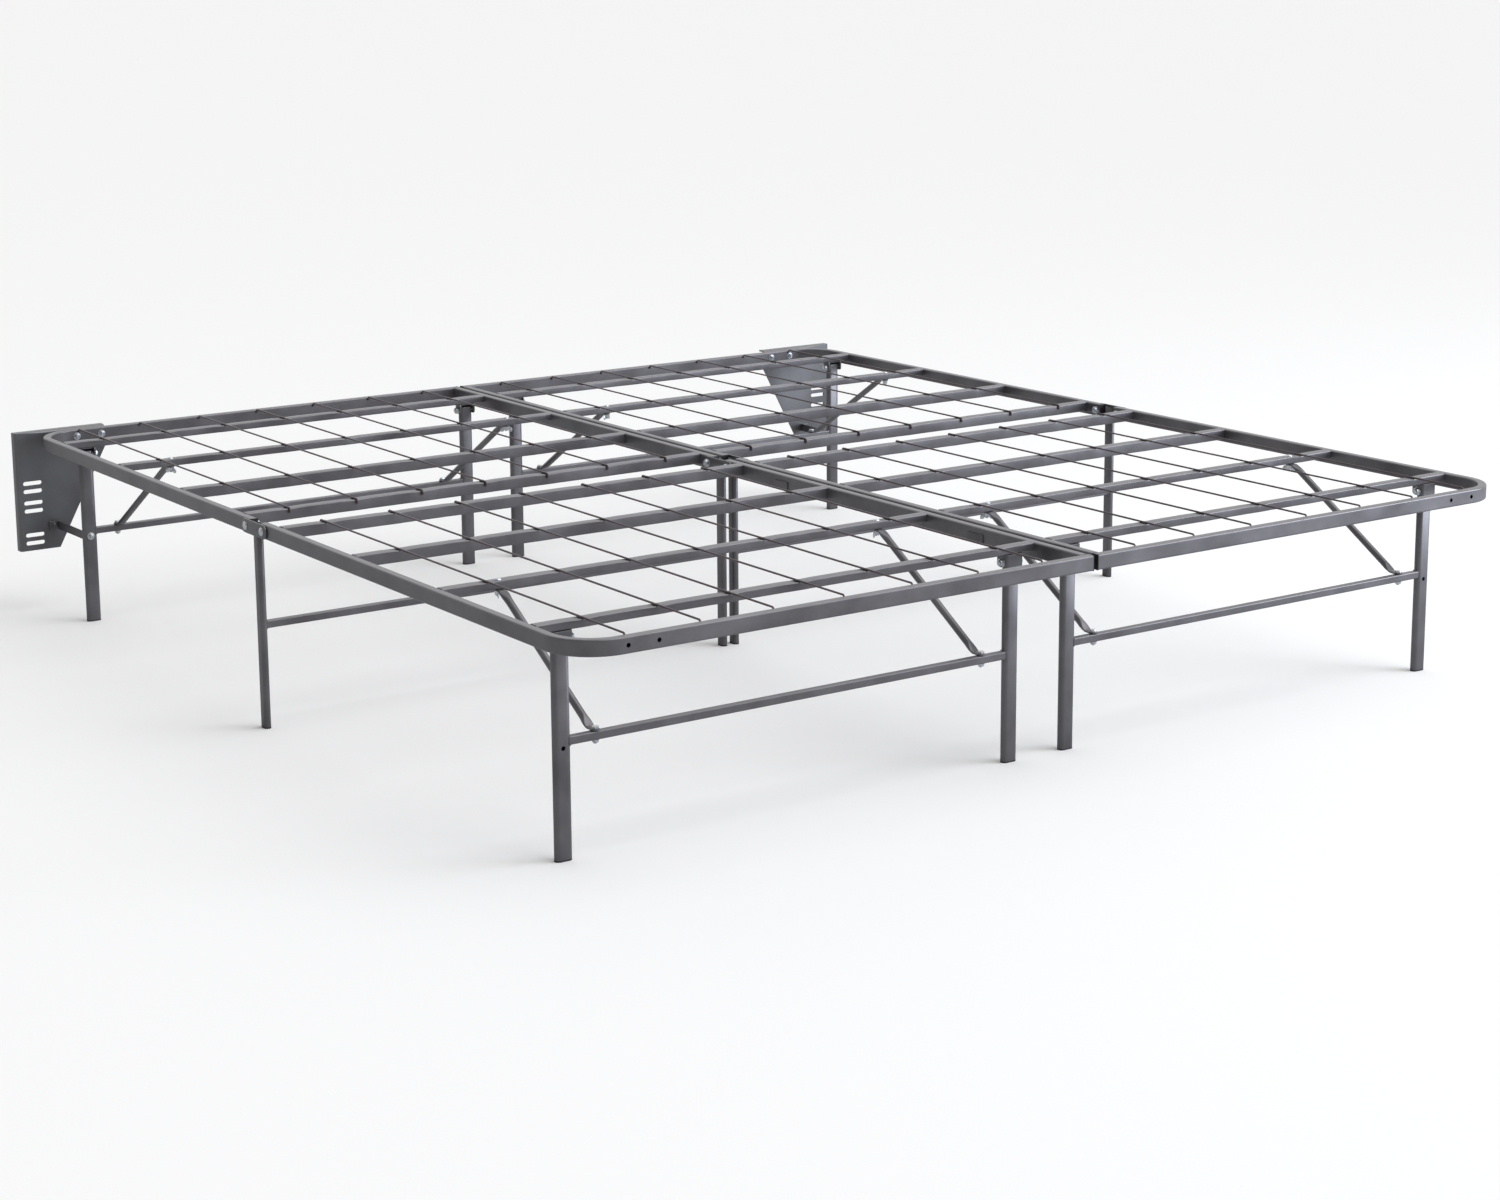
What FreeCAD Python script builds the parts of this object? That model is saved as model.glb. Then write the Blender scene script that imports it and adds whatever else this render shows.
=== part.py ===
import FreeCAD, Part
import os
import re
import Sketcher
from FreeCAD import Rotation, Vector

# Folding metal bed frame in two halves side by side. X runs across the bed, +Y towards the
# head, +Z up. The floor is Z = 0, the seam between the halves is X = 0 and the fold line is
# Y = 0. All sizes are in millimetres.
DIMENSIONS = {
    # deck
    "frame_length": 2032,
    "half_width": 944,
    "seam_gap": 8,
    "deck_height": 355.6,
    "rail_width": 15,
    "rail_height": 25,
    "corner_radius": 80,
    "tube_wall": 1.5,
    "bar_depth": 18,
    "bar_height": 12.7,
    "tall_bar_height": 19,
    "bar_drop": 0.6,
    "fold_bar": 70,
    "middle_bar": 330,
    "leg_bar_setback": 135,
    "wire_radius": 1.6,
    "wire_margin": 91.9,
    "wire_bend": 3.3,
    "wire_tail_at_rail": 6.5,
    "wire_tail_at_fold": 8,
    "cap_flange": 1.5,
    "cap_depth": 5,
    "clip_wall": 2,
    "clip_length": 40,
    "clip_lip": 15,
    # corner leg sets
    "leg_inset": 56,
    "leg_width": 28,
    "leg_depth": 14,
    "leg_wall": 1.2,
    "leg_pivot_drop": 13,
    "leg_top_above": 6,
    "foot_flange": 2,
    "foot_stem": 10,
    "crossbar_size": 12.7,
    "crossbar_level": 178,
    "saddle_depth": 24,
    "ear_wall": 2.5,
    "ear_gap": 0.5,
    "ear_below": 7,
    "strut_hole_level": 169,
    # braces
    "brace_inset": 58,
    "brace_run": 273,
    "brace_radius": 6,
    "brace_eye_width": 14,
    "brace_flat": 3,
    "brace_flat_run": 14,
    "brace_taper": 20,
    "brace_slot_play": 0.4,
    # middle leg sets and fold hinges
    "mid_leg_width": 12,
    "mid_leg_depth": 22,
    "mid_leg_below_top": 3.6,
    "fold_pivot": 31,
    "rail_past_pivot": 12,
    "plate_wall": 3,
    "plate_height": 24,
    "plate_past_pivot": 16.5,
    # fasteners and fits
    "big_bolt_radius": 4,
    "small_bolt_radius": 3,
    "big_head_radius": 7.4,
    "big_head_height": 3.4,
    "seam_head_height": 2.6,
    "small_head_radius": 5.8,
    "small_head_height": 3.2,
    "big_nut_height": 6.4,
    "small_nut_height": 5,
    "bolt_end": 1.5,
    "wing_reach": 12,
    "wing_rise": 11,
    "wing_wall": 2.4,
    "turning_fit": 0.08,
    "bolt_fit": 0.05,
    "running_gap": 0.3,
    "mount_hole_radius": 3.5,
    "mount_hole_inset": 88,
    "mount_hole_pitch": 51,
    # headboard brackets
    "bracket_wall": 3,
    "bracket_width": 184,
    "bracket_past_side": 33,
    "bracket_above_deck": 2.4,
    "bracket_bottom": 123,
    "bracket_foot_width": 81,
    "bracket_straight_edge": 43,
    "bracket_fold": 18,
    "slot_length": 38,
    "slot_radius": 4,
    "slot_from_side": 31,
    "slot_pair_pitch": 16,
    "slot_pair_high": 241,
    "slot_pair_middle": 202,
    "slot_pair_low": 138,
    "strut_wall": 3,
    "strut_height": 16,
    "strut_tab": 20,
    "strut_shift": 20,
}

WIRES_PER_SECTION = 7
DOME_TOP_SHARE = 0.55   # flat top of a domed head as a share of its radius
SKETCH_START_RADIUS = 50   # a sketch's corners start on a ring, and its constraints move them
SLOPE_START = 20   # sets the axis of a turn, whose angle is then bound to a formula
HALVES = {"left": -1, "right": 1}
ENDS = {"foot": -1, "head": 1}

# Places that several pieces share, as formulas of the sheet's cells.
OUTER_FACE = "(seam_gap / 2 + half_width)"
INNER_FACE = "(seam_gap / 2)"
HALF_CENTRE = "(seam_gap / 2 + half_width / 2)"
OUTER_RAIL_X = "(seam_gap / 2 + half_width - rail_width / 2)"
INNER_RAIL_X = "(seam_gap / 2 + rail_width / 2)"
RAIL_Z = "(deck_height - rail_height / 2)"
END_FACE = "(frame_length / 2)"
END_INSIDE = "(frame_length / 2 - rail_width)"
LEG_BAR = "(frame_length / 2 - leg_bar_setback)"
BRACE_BAR = "(frame_length / 2 - leg_bar_setback - brace_run)"
LEG_SPREAD = "(half_width / 2 - leg_inset)"
BRACE_SPREAD = "(half_width / 2 - leg_inset - brace_inset)"
MOUNT_HOLE_X = "(seam_gap / 2 + half_width - mount_hole_inset)"
RAIL_START = "(fold_pivot - rail_past_pivot + cap_flange)"
WIRE_Z = "(deck_height - bar_drop + wire_radius)"
BAR_TOP = "(deck_height - bar_drop)"
BAR_BOTTOM = "(deck_height - bar_drop - bar_height)"
LEG_PIVOT_Z = "(deck_height - bar_drop - bar_height - leg_pivot_drop)"
CROSSBAR_TOP = "(crossbar_level + crossbar_size / 2)"
CROSSBAR_BOTTOM = "(crossbar_level - crossbar_size / 2)"
BRACKET_TOP = "(deck_height + bracket_above_deck)"
BRACKET_SIDE = f"({OUTER_FACE} + bracket_past_side)"
OUTER_PLATE_INSIDE = f"({OUTER_FACE} + running_gap)"
INNER_PLATE_INSIDE = f"({INNER_FACE} + rail_width + running_gap)"

doc = FreeCAD.newDocument("bed_frame")
sheet = doc.addObject("Spreadsheet::Sheet", "sizes")
for row, (alias, value) in enumerate(DIMENSIONS.items(), start=1):
    sheet.set(f"A{row}", alias)
    sheet.set(f"B{row}", str(value))
    sheet.setAlias(f"B{row}", alias)
doc.recompute()

nodes = {}


def linked(formula):
    """A formula with each size's name turned into a reference to its cell."""
    def cell(match):
        word = match.group(0)
        return f"sizes.{word}" if word in DIMENSIONS else word
    return re.sub(r"\b[a-z][a-z_]*\b", cell, str(formula))


def bind(piece, prop, formula):
    piece.setExpression(prop, linked(formula))


def put(piece, x="0", y="0", z="0", rotation=None):
    """Place a piece: its rotation first, then each coordinate bound to its formula."""
    if rotation is not None:
        piece.Placement.Rotation = rotation
    bind(piece, "Placement.Base.x", x)
    bind(piece, "Placement.Base.y", y)
    bind(piece, "Placement.Base.z", z)
    return piece


def node(label, piece):
    piece.Label = label
    nodes[label] = piece
    return piece


# Building blocks

ROUND_TO_X = Rotation(Vector(0, 1, 0), 90)
ROUND_TO_MINUS_X = Rotation(Vector(0, 1, 0), -90)
ROUND_TO_Y = Rotation(Vector(1, 0, 0), -90)
ROUND_TO_MINUS_Y = Rotation(Vector(1, 0, 0), 90)
UPRIGHT = Rotation()
UPSIDE_DOWN = Rotation(Vector(1, 0, 0), 180)
HALF_TURN = Rotation(Vector(0, 0, 1), 180)
POINTING = {"x": {1: ROUND_TO_X, -1: ROUND_TO_MINUS_X}, "y": {1: ROUND_TO_Y, -1: ROUND_TO_MINUS_Y}}


def box(size, centre):
    """A block given by its three sizes and the formulas of its centre."""
    block = doc.addObject("Part::Box", "block")
    for prop, length in zip(("Length", "Width", "Height"), size):
        bind(block, prop, length)
    corner = [f"({c}) - ({s}) / 2" for c, s in zip(centre, size)]
    return put(block, *corner)


def rod(radius, length, centre, along="z"):
    """A round bar about its centre, along one axis."""
    bar = doc.addObject("Part::Cylinder", "rod")
    bind(bar, "Radius", radius)
    bind(bar, "Height", length)
    start = {axis: f"({c})" for axis, c in zip("xyz", centre)}
    start[along] = f"({start[along]} - ({length}) / 2)"
    turn = UPRIGHT if along == "z" else POINTING[along][1]
    return put(bar, start["x"], start["y"], start["z"], turn)


def hexagon(radius, height, base):
    prism = doc.addObject("Part::Prism", "hexagon")
    prism.Polygon = 6
    bind(prism, "Circumradius", radius)
    bind(prism, "Height", height)
    return put(prism, "0", "0", base)


def joined(pieces):
    whole = doc.addObject("Part::MultiFuse", "joined")
    whole.Shapes = pieces
    return whole


def without(base, tools):
    """The base with one tool, or the union of several, cut away."""
    cut = doc.addObject("Part::Cut", "cut")
    cut.Base = base
    cut.Tool = tools[0] if len(tools) == 1 else joined(tools)
    return cut


def group(pieces):
    """Separate solids kept side by side in one object."""
    several = doc.addObject("Part::Compound", "group")
    several.Links = pieces
    return several


def square_tube(size, centre, along, wall):
    """A rectangular tube, open at both ends."""
    hollow = [s if axis == along else f"({s}) - 2 * {wall}" for axis, s in zip("xyz", size)]
    return without(box(size, centre), [box(hollow, centre)])


def oval_post(width, depth, bottom, top, x, y, inset="0"):
    """An upright flat-oval bar: a block with a round along each of its narrow sides."""
    wide = DIMENSIONS[width] > DIMENSIONS[depth]
    middle = f"(({bottom}) + ({top})) / 2"
    tall = f"({top}) - ({bottom})"
    radius = f"({depth if wide else width}) / 2 - {inset}"
    reach = f"(abs({width} - {depth}) / 2)"
    straight = f"abs({width} - {depth})"
    thick = f"2 * ({radius})"
    size = (straight, thick, tall) if wide else (thick, straight, tall)
    pieces = [box(size, (x, y, middle))]
    for side in (-1, 1):
        at_x = f"{x} + {side} * {reach}" if wide else x
        at_y = y if wide else f"{y} + {side} * {reach}"
        pieces.append(rod(radius, tall, (at_x, at_y, middle)))
    return joined(pieces)


def polygon_pad(name, plane, corners, thickness, midplane):
    """A body with one closed straight-sided sketch, padded; its corners are formulas."""
    body = doc.addObject("PartDesign::Body", name)
    sketch = body.newObject("Sketcher::SketchObject", f"{name}_outline")
    origin = [f for f in body.Origin.OriginFeatures if f.Role == plane]
    sketch.AttachmentSupport = [(origin[0], "")]
    sketch.MapMode = "FlatFace"
    count = len(corners)
    ring = [Rotation(Vector(0, 0, 1), 360 * i / count).multVec(Vector(SKETCH_START_RADIUS, 0, 0))
            for i in range(count)]
    for i in range(count):
        sketch.addGeometry(Part.LineSegment(ring[i], ring[(i + 1) % count]), False)
    for i in range(count):
        sketch.addConstraint(Sketcher.Constraint("Coincident", i, 2, (i + 1) % count, 1))
    for i, corner in enumerate(corners):
        for kind, formula in zip(("DistanceX", "DistanceY"), corner):
            start = ring[i].x if kind == "DistanceX" else ring[i].y
            place = sketch.addConstraint(Sketcher.Constraint(kind, -1, 1, i, 1, start))
            bind(sketch, f"Constraints[{place}]", formula)
    pad = body.newObject("PartDesign::Pad", f"{name}_pad")
    pad.Profile = sketch
    bind(pad, "Length", thickness)
    pad.Midplane = midplane
    body.Tip = pad
    return body


# Fasteners. Each is built with its seat at the origin and its head, or the nut's body,
# towards +Z, and then turned and placed.

def bolt(head_radius, head_height, shank_radius, length, domed):
    if domed:
        head = doc.addObject("Part::Cone", "dome")
        bind(head, "Radius1", head_radius)
        bind(head, "Radius2", f"{head_radius} * {DOME_TOP_SHARE}")
        bind(head, "Height", head_height)
    else:
        head = hexagon(head_radius, head_height, "0")
    shank = rod(shank_radius, length, ("0", "0", f"0 - ({length}) / 2"))
    return joined([head, shank])


def nut(radius, height, shank_radius):
    bore = rod(f"{shank_radius} + bolt_fit", f"2 * {height}", ("0", "0", f"{height} / 2"))
    return without(hexagon(radius, height, "0"), [bore])


def wing_nut():
    """A round collar with two upright wings, on the small thread."""
    collar = rod("small_head_radius", "small_nut_height", ("0", "0", "small_nut_height / 2"))
    wings = []
    for side in (-1, 1):
        span = "wing_reach - small_bolt_radius - 1"
        at = f"{side} * (wing_reach + small_bolt_radius + 1) / 2"
        wings.append(box((span, "wing_wall", "wing_rise"), (at, "0", "wing_rise / 2")))
    bore = rod("small_bolt_radius + bolt_fit", "4 * wing_rise", ("0", "0", "0"))
    return without(joined([collar] + wings), [bore])


# Deck section: two rails, four cross bars and seven wires

def bent_rail_volume(across, along, inset):
    """The side run, the round corner and the end run of an outer rail, shrunk by inset."""
    wide = f"rail_width - 2 * {inset}"
    high = f"rail_height - 2 * {inset}"
    bend_x = f"({OUTER_FACE} - corner_radius)"
    bend_y = f"({END_FACE} - corner_radius)"
    seam_end = f"({INNER_FACE} + cap_flange)"
    side = box((wide, f"{bend_y} - {RAIL_START}", high),
               (f"{across} * {OUTER_RAIL_X}", f"{along} * ({bend_y} + {RAIL_START}) / 2", RAIL_Z))
    end = box((f"{bend_x} - {seam_end}", wide, high),
              (f"{across} * ({bend_x} + {seam_end}) / 2",
               f"{along} * ({END_FACE} - rail_width / 2)", RAIL_Z))
    quarter = {(1, 1): 0, (-1, 1): 90, (-1, -1): 180, (1, -1): 270}[across, along]
    rounds = []
    for radius in (f"corner_radius - {inset}", f"corner_radius - rail_width + {inset}"):
        disc = doc.addObject("Part::Cylinder", "corner_disc")
        bind(disc, "Radius", radius)
        bind(disc, "Height", high)
        disc.Angle = 90
        put(disc, f"{across} * {bend_x}", f"{along} * {bend_y}", f"{RAIL_Z} - ({high}) / 2",
            Rotation(Vector(0, 0, 1), quarter))
        rounds.append(disc)
    corner = without(rounds[0], [rounds[1]])
    return joined([side, corner, end])


def mount_hole_places(across):
    return [f"{across} * {MOUNT_HOLE_X}", f"{across} * ({MOUNT_HOLE_X} - mount_hole_pitch)"]


def outer_rail(across, along):
    tools = [bent_rail_volume(across, along, "tube_wall")]
    end_y = f"{along} * ({END_FACE} - rail_width / 2)"
    for x in mount_hole_places(across):
        tools.append(rod("mount_hole_radius", "2 * rail_width", (x, end_y, RAIL_Z), "y"))
    pivot = (f"{across} * {OUTER_RAIL_X}", f"{along} * fold_pivot", RAIL_Z)
    tools.append(rod("big_bolt_radius + turning_fit", "2 * rail_width", pivot, "x"))
    return without(bent_rail_volume(across, along, "0"), tools)


def inner_rail(across, along):
    run = f"{END_INSIDE} - {RAIL_START}"
    centre = (f"{across} * {INNER_RAIL_X}", f"{along} * ({END_INSIDE} + {RAIL_START}) / 2", RAIL_Z)
    tube = square_tube(("rail_width", run, "rail_height"), centre, "y", "tube_wall")
    pivot = (centre[0], f"{along} * fold_pivot", RAIL_Z)
    return without(tube, [rod("big_bolt_radius + turning_fit", "2 * rail_width", pivot, "x")])


def rail_caps(across, along):
    """Plastic plugs in the rails' open ends: two at the fold line and one at the seam."""
    wide = "rail_width - 2 * tube_wall - 2 * bolt_fit"
    high = "rail_height - 2 * tube_wall - 2 * bolt_fit"
    stem = "(cap_flange + cap_depth)"
    caps = []
    for x in (INNER_RAIL_X, OUTER_RAIL_X):
        face = f"{along} * ({RAIL_START} - cap_flange / 2)"
        back = f"{along} * ({RAIL_START} - cap_flange + {stem} / 2)"
        flange = box(("rail_width", "cap_flange", "rail_height"), (f"{across} * {x}", face, RAIL_Z))
        plug = box((wide, stem, high), (f"{across} * {x}", back, RAIL_Z))
        caps.append(joined([flange, plug]))
    end_y = f"{along} * ({END_FACE} - rail_width / 2)"
    face = f"{across} * ({INNER_FACE} + cap_flange / 2)"
    back = f"{across} * ({INNER_FACE} + {stem} / 2)"
    flange = box(("cap_flange", "rail_width", "rail_height"), (face, end_y, RAIL_Z))
    plug = box((stem, wide, high), (back, end_y, RAIL_Z))
    caps.append(joined([flange, plug]))
    return caps


def brace_places(across):
    """The two braces of one leg set: side is -1 or 1 from the half's centre line."""
    return [(side, f"({across} * {HALF_CENTRE} + {side} * {BRACE_SPREAD})") for side in (-1, 1)]


def leg_places(across):
    return [(side, f"({across} * {HALF_CENTRE} + {side} * {LEG_SPREAD})") for side in (-1, 1)]


def cross_bars(across, along):
    bars = []
    length = "half_width - 2 * rail_width"
    for y in ("fold_bar", "middle_bar", BRACE_BAR, LEG_BAR):
        tall = "tall_bar_height" if y in ("fold_bar", "middle_bar") else "bar_height"
        z = f"({BAR_TOP} - {tall} / 2)"
        centre = (f"{across} * {HALF_CENTRE}", f"{along} * {y}", z)
        bar = square_tube((length, "bar_depth", tall), centre, "x", "tube_wall")
        if y == BRACE_BAR:
            hole = "small_bolt_radius + bolt_fit"
            bar = without(bar, [rod(hole, "2 * bar_height", (x, centre[1], z))
                                for side, x in brace_places(across)])
        bars.append(bar)
    return bars


def wire(x, along):
    """A deck wire: a straight run over the bars with a tail bent down at each end."""
    end_tail = f"({END_INSIDE} - wire_radius)"
    fold_tail = "(fold_bar - bar_depth / 2 - wire_bend)"
    bend_z = f"({WIRE_Z} - wire_bend)"
    run = f"{end_tail} - {fold_tail} - 2 * wire_bend"
    middle = f"{along} * ({end_tail} + {fold_tail}) / 2"
    pieces = [rod("wire_radius", run, (x, middle, WIRE_Z), "y")]
    for tail, inward, reach in ((end_tail, -1, "wire_tail_at_rail"),
                                (fold_tail, 1, "wire_tail_at_fold")):
        drop = f"({reach} - wire_bend)"
        tail_z = f"{bend_z} - {drop} / 2"
        pieces.append(rod("wire_radius", drop, (x, f"{along} * {tail}", tail_z)))
        bend = doc.addObject("Part::Torus", "wire_corner")
        bind(bend, "Radius1", "wire_bend")
        bind(bend, "Radius2", "wire_radius")
        bend.Angle3 = 90
        # the ring stands in the plane of the wire; its quarter joins the run and the tail
        stand = Rotation(Vector(0, 1, 0), -90 if inward * along > 0 else 90)
        quarter = Rotation(Vector(0, 0, 1), 90 if inward * along < 0 else -90)
        put(bend, x, f"{along} * ({tail} + {inward} * wire_bend)", bend_z,
            stand.multiply(quarter))
        pieces.append(bend)
    return joined(pieces)


def wires(across, along):
    middle = (WIRES_PER_SECTION - 1) / 2
    places = [f"({across} * {HALF_CENTRE} + {(i - middle) / middle} * (half_width / 2 - wire_margin))"
              for i in range(WIRES_PER_SECTION)]
    return [wire(x, along) for x in places]


def leg_saddles(across, along):
    """Brackets under the leg bar, closed towards the end, with a pivot hole in each ear."""
    saddles = []
    outside = "(leg_width + 2 * ear_gap + 2 * ear_wall)"
    tall = "(leg_pivot_drop + ear_below)"
    y = f"{along} * {LEG_BAR}"
    for side, x in leg_places(across):
        block = box((outside, "saddle_depth", tall), (x, y, f"{BAR_BOTTOM} - {tall} / 2"))
        open_y = f"{y} - {along} * (saddle_depth / 2 + ear_wall)"
        mouth = box((f"{outside} - 2 * ear_wall", "2 * saddle_depth", tall),
                    (x, open_y, f"{BAR_BOTTOM} - ear_wall - {tall} / 2"))
        hole = rod("big_bolt_radius + bolt_fit", f"2 * {outside}", (x, y, LEG_PIVOT_Z), "x")
        saddles.append(without(block, [mouth, hole]))
    return saddles


def deck_bolts(across, along):
    """Leg pivot bolts with their nuts, and the bolts that hold the braces up."""
    pieces = []
    reach = "(leg_width / 2 + ear_gap + ear_wall)"
    y = f"{along} * {LEG_BAR}"
    for side, x in leg_places(across):
        length = f"2 * {reach} + big_nut_height + bolt_end"
        pivot = bolt("big_head_radius", "big_head_height", "big_bolt_radius", length, False)
        pieces.append(put(pivot, f"{x} + {side} * {reach}", y, LEG_PIVOT_Z, POINTING["x"][side]))
        lock = nut("big_head_radius", "big_nut_height", "big_bolt_radius")
        pieces.append(put(lock, f"{x} - {side} * {reach}", y, LEG_PIVOT_Z, POINTING["x"][-side]))
    for side, x in brace_places(across):
        length = "bar_height + brace_flat + 2 * running_gap + small_nut_height + 2 * bolt_end"
        stud = bolt("small_head_radius", "small_head_height", "small_bolt_radius", length, True)
        pieces.append(put(stud, x, f"{along} * {BRACE_BAR}", BAR_TOP))
    return pieces


def wing_nuts(across, along):
    seat = f"{BAR_BOTTOM} - brace_flat - 2 * running_gap"
    return [put(wing_nut(), x, f"{along} * {BRACE_BAR}", seat, UPSIDE_DOWN)
            for side, x in brace_places(across)]


def seam_clips():
    """U clips that hold the two halves together from below."""
    clips = []
    outside = "(seam_gap + 2 * rail_width + 2 * clip_wall)"
    bottom = "(deck_height - rail_height - clip_wall)"
    tall = "(clip_lip + clip_wall)"
    for y in ("0 - (middle_bar + fold_bar) / 2", f"0 - ({LEG_BAR} + {BRACE_BAR}) / 2"):
        block = box((outside, "clip_length", tall), ("0", y, f"{bottom} + {tall} / 2"))
        mouth = box((f"{outside} - 2 * clip_wall", "2 * clip_length", tall),
                    ("0", y, f"{bottom} + clip_wall + {tall} / 2"))
        clips.append(without(block, [mouth]))
    return clips


# Corner leg sets: two flat-oval legs with a crossbar, feet and the braces' lower bolts

def leg_post(x, y, inset, bottom, top):
    return oval_post("leg_width", "leg_depth", bottom, top, x, y, inset)


def leg_frame(across, along):
    y = f"({along} * {LEG_BAR})"
    top = f"({LEG_PIVOT_Z} + leg_top_above)"
    pieces = []
    for side, x in leg_places(across):
        tools = [leg_post(x, y, "leg_wall", "0", f"{top} + 1"),
                 rod("big_bolt_radius + turning_fit", "2 * leg_width", (x, y, LEG_PIVOT_Z), "x")]
        if side == across:
            tools.append(rod("mount_hole_radius", "2 * leg_depth", (x, y, "strut_hole_level"), "y"))
        pieces.append(without(leg_post(x, y, "0", "foot_flange", top), tools))
    pieces.append(crossbar(across, y, [x for side, x in leg_places(across)], leg_post,
                           [x for side, x in brace_places(across)]))
    return pieces


def crossbar(across, y, leg_lines, post, bolt_lines):
    """A square tube between two legs, shaped to their sides at its ends."""
    centre = (f"({leg_lines[0]} + {leg_lines[1]}) / 2", y, "crossbar_level")
    length = f"abs({leg_lines[1]} - {leg_lines[0]})"
    tube = square_tube((length, "crossbar_size", "crossbar_size"), centre, "x", "leg_wall")
    low = "(crossbar_level - crossbar_size)"
    high = "(crossbar_level + crossbar_size)"
    tools = [post(x, y, "0", low, high) for x in leg_lines]
    for x in bolt_lines:
        tools.append(rod("small_bolt_radius + bolt_fit", "2 * crossbar_size",
                         (x, y, "crossbar_level")))
    return without(tube, tools)


def foot_plugs(lines, y, post):
    """Plastic feet: a flange under each leg and a stem up inside it."""
    plugs = []
    for x in lines:
        flange = post(x, y, "0", "0", "foot_flange")
        stem = post(x, y, "(leg_wall + bolt_fit)", "0", "(foot_flange + foot_stem)")
        plugs.append(joined([flange, stem]))
    return plugs


def swivel_bolts(across, along):
    pieces = []
    seat = f"{CROSSBAR_TOP} + brace_flat + 2 * running_gap"
    length = "brace_flat + 2 * running_gap + crossbar_size + small_nut_height + bolt_end"
    y = f"{along} * {LEG_BAR}"
    for side, x in brace_places(across):
        pin = bolt("small_head_radius", "small_head_height", "small_bolt_radius", length, False)
        pieces.append(put(pin, x, y, seat))
        lock = nut("small_head_radius", "small_nut_height", "small_bolt_radius")
        pieces.append(put(lock, x, y, CROSSBAR_BOTTOM, UPSIDE_DOWN))
    return pieces


def brace(along, open_side):
    """A round tube flattened at both ends. Its lower eye turns on the crossbar's bolt, at the
    local origin, and its upper eye is open on one side so that it leaves the deck's bolt."""
    run = "brace_run"
    low = "(running_gap + brace_flat / 2)"
    high = f"({BAR_BOTTOM} - {CROSSBAR_TOP} - running_gap - brace_flat / 2)"
    rise = f"({high} - {low})"
    span = f"({run} - 2 * brace_flat_run)"
    length = f"sqrt({rise} ^ 2 + {span} ^ 2)"
    slope = f"atan2({rise}; {span})"
    eye = "brace_eye_width"
    pieces = []
    for y, toward, z in (("0", 1, low), (run, -1, high)):
        pieces.append(box((eye, "brace_flat_run", "brace_flat"),
                          ("0", f"{y} + {toward} * brace_flat_run / 2", z)))
        pieces.append(rod(f"{eye} / 2", "brace_flat", ("0", y, z)))
    strap = "(brace_taper + brace_radius)"
    for at in ("0", f"{length} - {strap}"):
        flat = doc.addObject("Part::Box", "flattened_end")
        bind(flat, "Length", eye)
        bind(flat, "Width", strap)
        bind(flat, "Height", "brace_flat")
        put(flat, f"0 - {eye} / 2",
            f"brace_flat_run + ({at}) * cos({slope}) + brace_flat / 2 * sin({slope})",
            f"{low} + ({at}) * sin({slope}) - brace_flat / 2 * cos({slope})",
            Rotation(Vector(1, 0, 0), SLOPE_START))
        bind(flat, "Placement.Rotation.Angle", slope)
        pieces.append(flat)
    tubes = []
    for radius in ("brace_radius", "brace_radius - leg_wall"):
        tube = doc.addObject("Part::Cylinder", "brace_tube")
        bind(tube, "Radius", radius)
        bind(tube, "Height", f"{length} - 2 * brace_taper")
        put(tube, "0", f"brace_flat_run + brace_taper * cos({slope})",
            f"{low} + brace_taper * sin({slope})", Rotation(Vector(-1, 0, 0), SLOPE_START))
        bind(tube, "Placement.Rotation.Angle", f"90 deg - {slope}")
        tubes.append(tube)
    pieces.append(without(tubes[0], [tubes[1]]))
    turning = rod("small_bolt_radius + turning_fit", "4 * brace_flat", ("0", "0", low))
    loose = "small_bolt_radius + brace_slot_play"
    seat = rod(loose, "4 * brace_flat", ("0", run, high))
    mouth = box((eye, f"2 * ({loose})", "4 * brace_flat"),
                (f"{open_side} * {eye} / 2", run, high))
    return without(joined(pieces), [turning, seat, mouth])


# Middle leg sets: two legs with a crossbar, and the hinge plates of the fold

def mid_leg_post(x, y, inset, bottom, top):
    return oval_post("mid_leg_width", "mid_leg_depth", bottom, top, x, y, inset)


def mid_leg_lines(across):
    outer = f"({across} * ({OUTER_PLATE_INSIDE} - mid_leg_width / 2))"
    inner = f"({across} * ({INNER_PLATE_INSIDE} - mid_leg_width / 2))"
    return [inner, outer]


def mid_leg_frame(across):
    top = "(deck_height - mid_leg_below_top)"
    lines = mid_leg_lines(across)
    pieces = [without(mid_leg_post(x, "0", "0", "foot_flange", top),
                      [mid_leg_post(x, "0", "leg_wall", "0", f"{top} + 1")]) for x in lines]
    pieces.append(crossbar(across, "0", lines, mid_leg_post, []))
    return pieces


def hinge_plates(across):
    plates = []
    reach = "(fold_pivot + plate_past_pivot - plate_height / 2)"
    for face in (INNER_PLATE_INSIDE, OUTER_PLATE_INSIDE):
        x = f"{across} * ({face} + plate_wall / 2)"
        pieces = [box(("plate_wall", f"2 * {reach}", "plate_height"), (x, "0", RAIL_Z))]
        holes = []
        for side in (-1, 1):
            pieces.append(rod("plate_height / 2", "plate_wall", (x, f"{side} * {reach}", RAIL_Z), "x"))
            holes.append(rod("big_bolt_radius + bolt_fit", "4 * plate_wall",
                             (x, f"{side} * fold_pivot", RAIL_Z), "x"))
        plates.append(without(joined(pieces), holes))
    return plates


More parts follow.
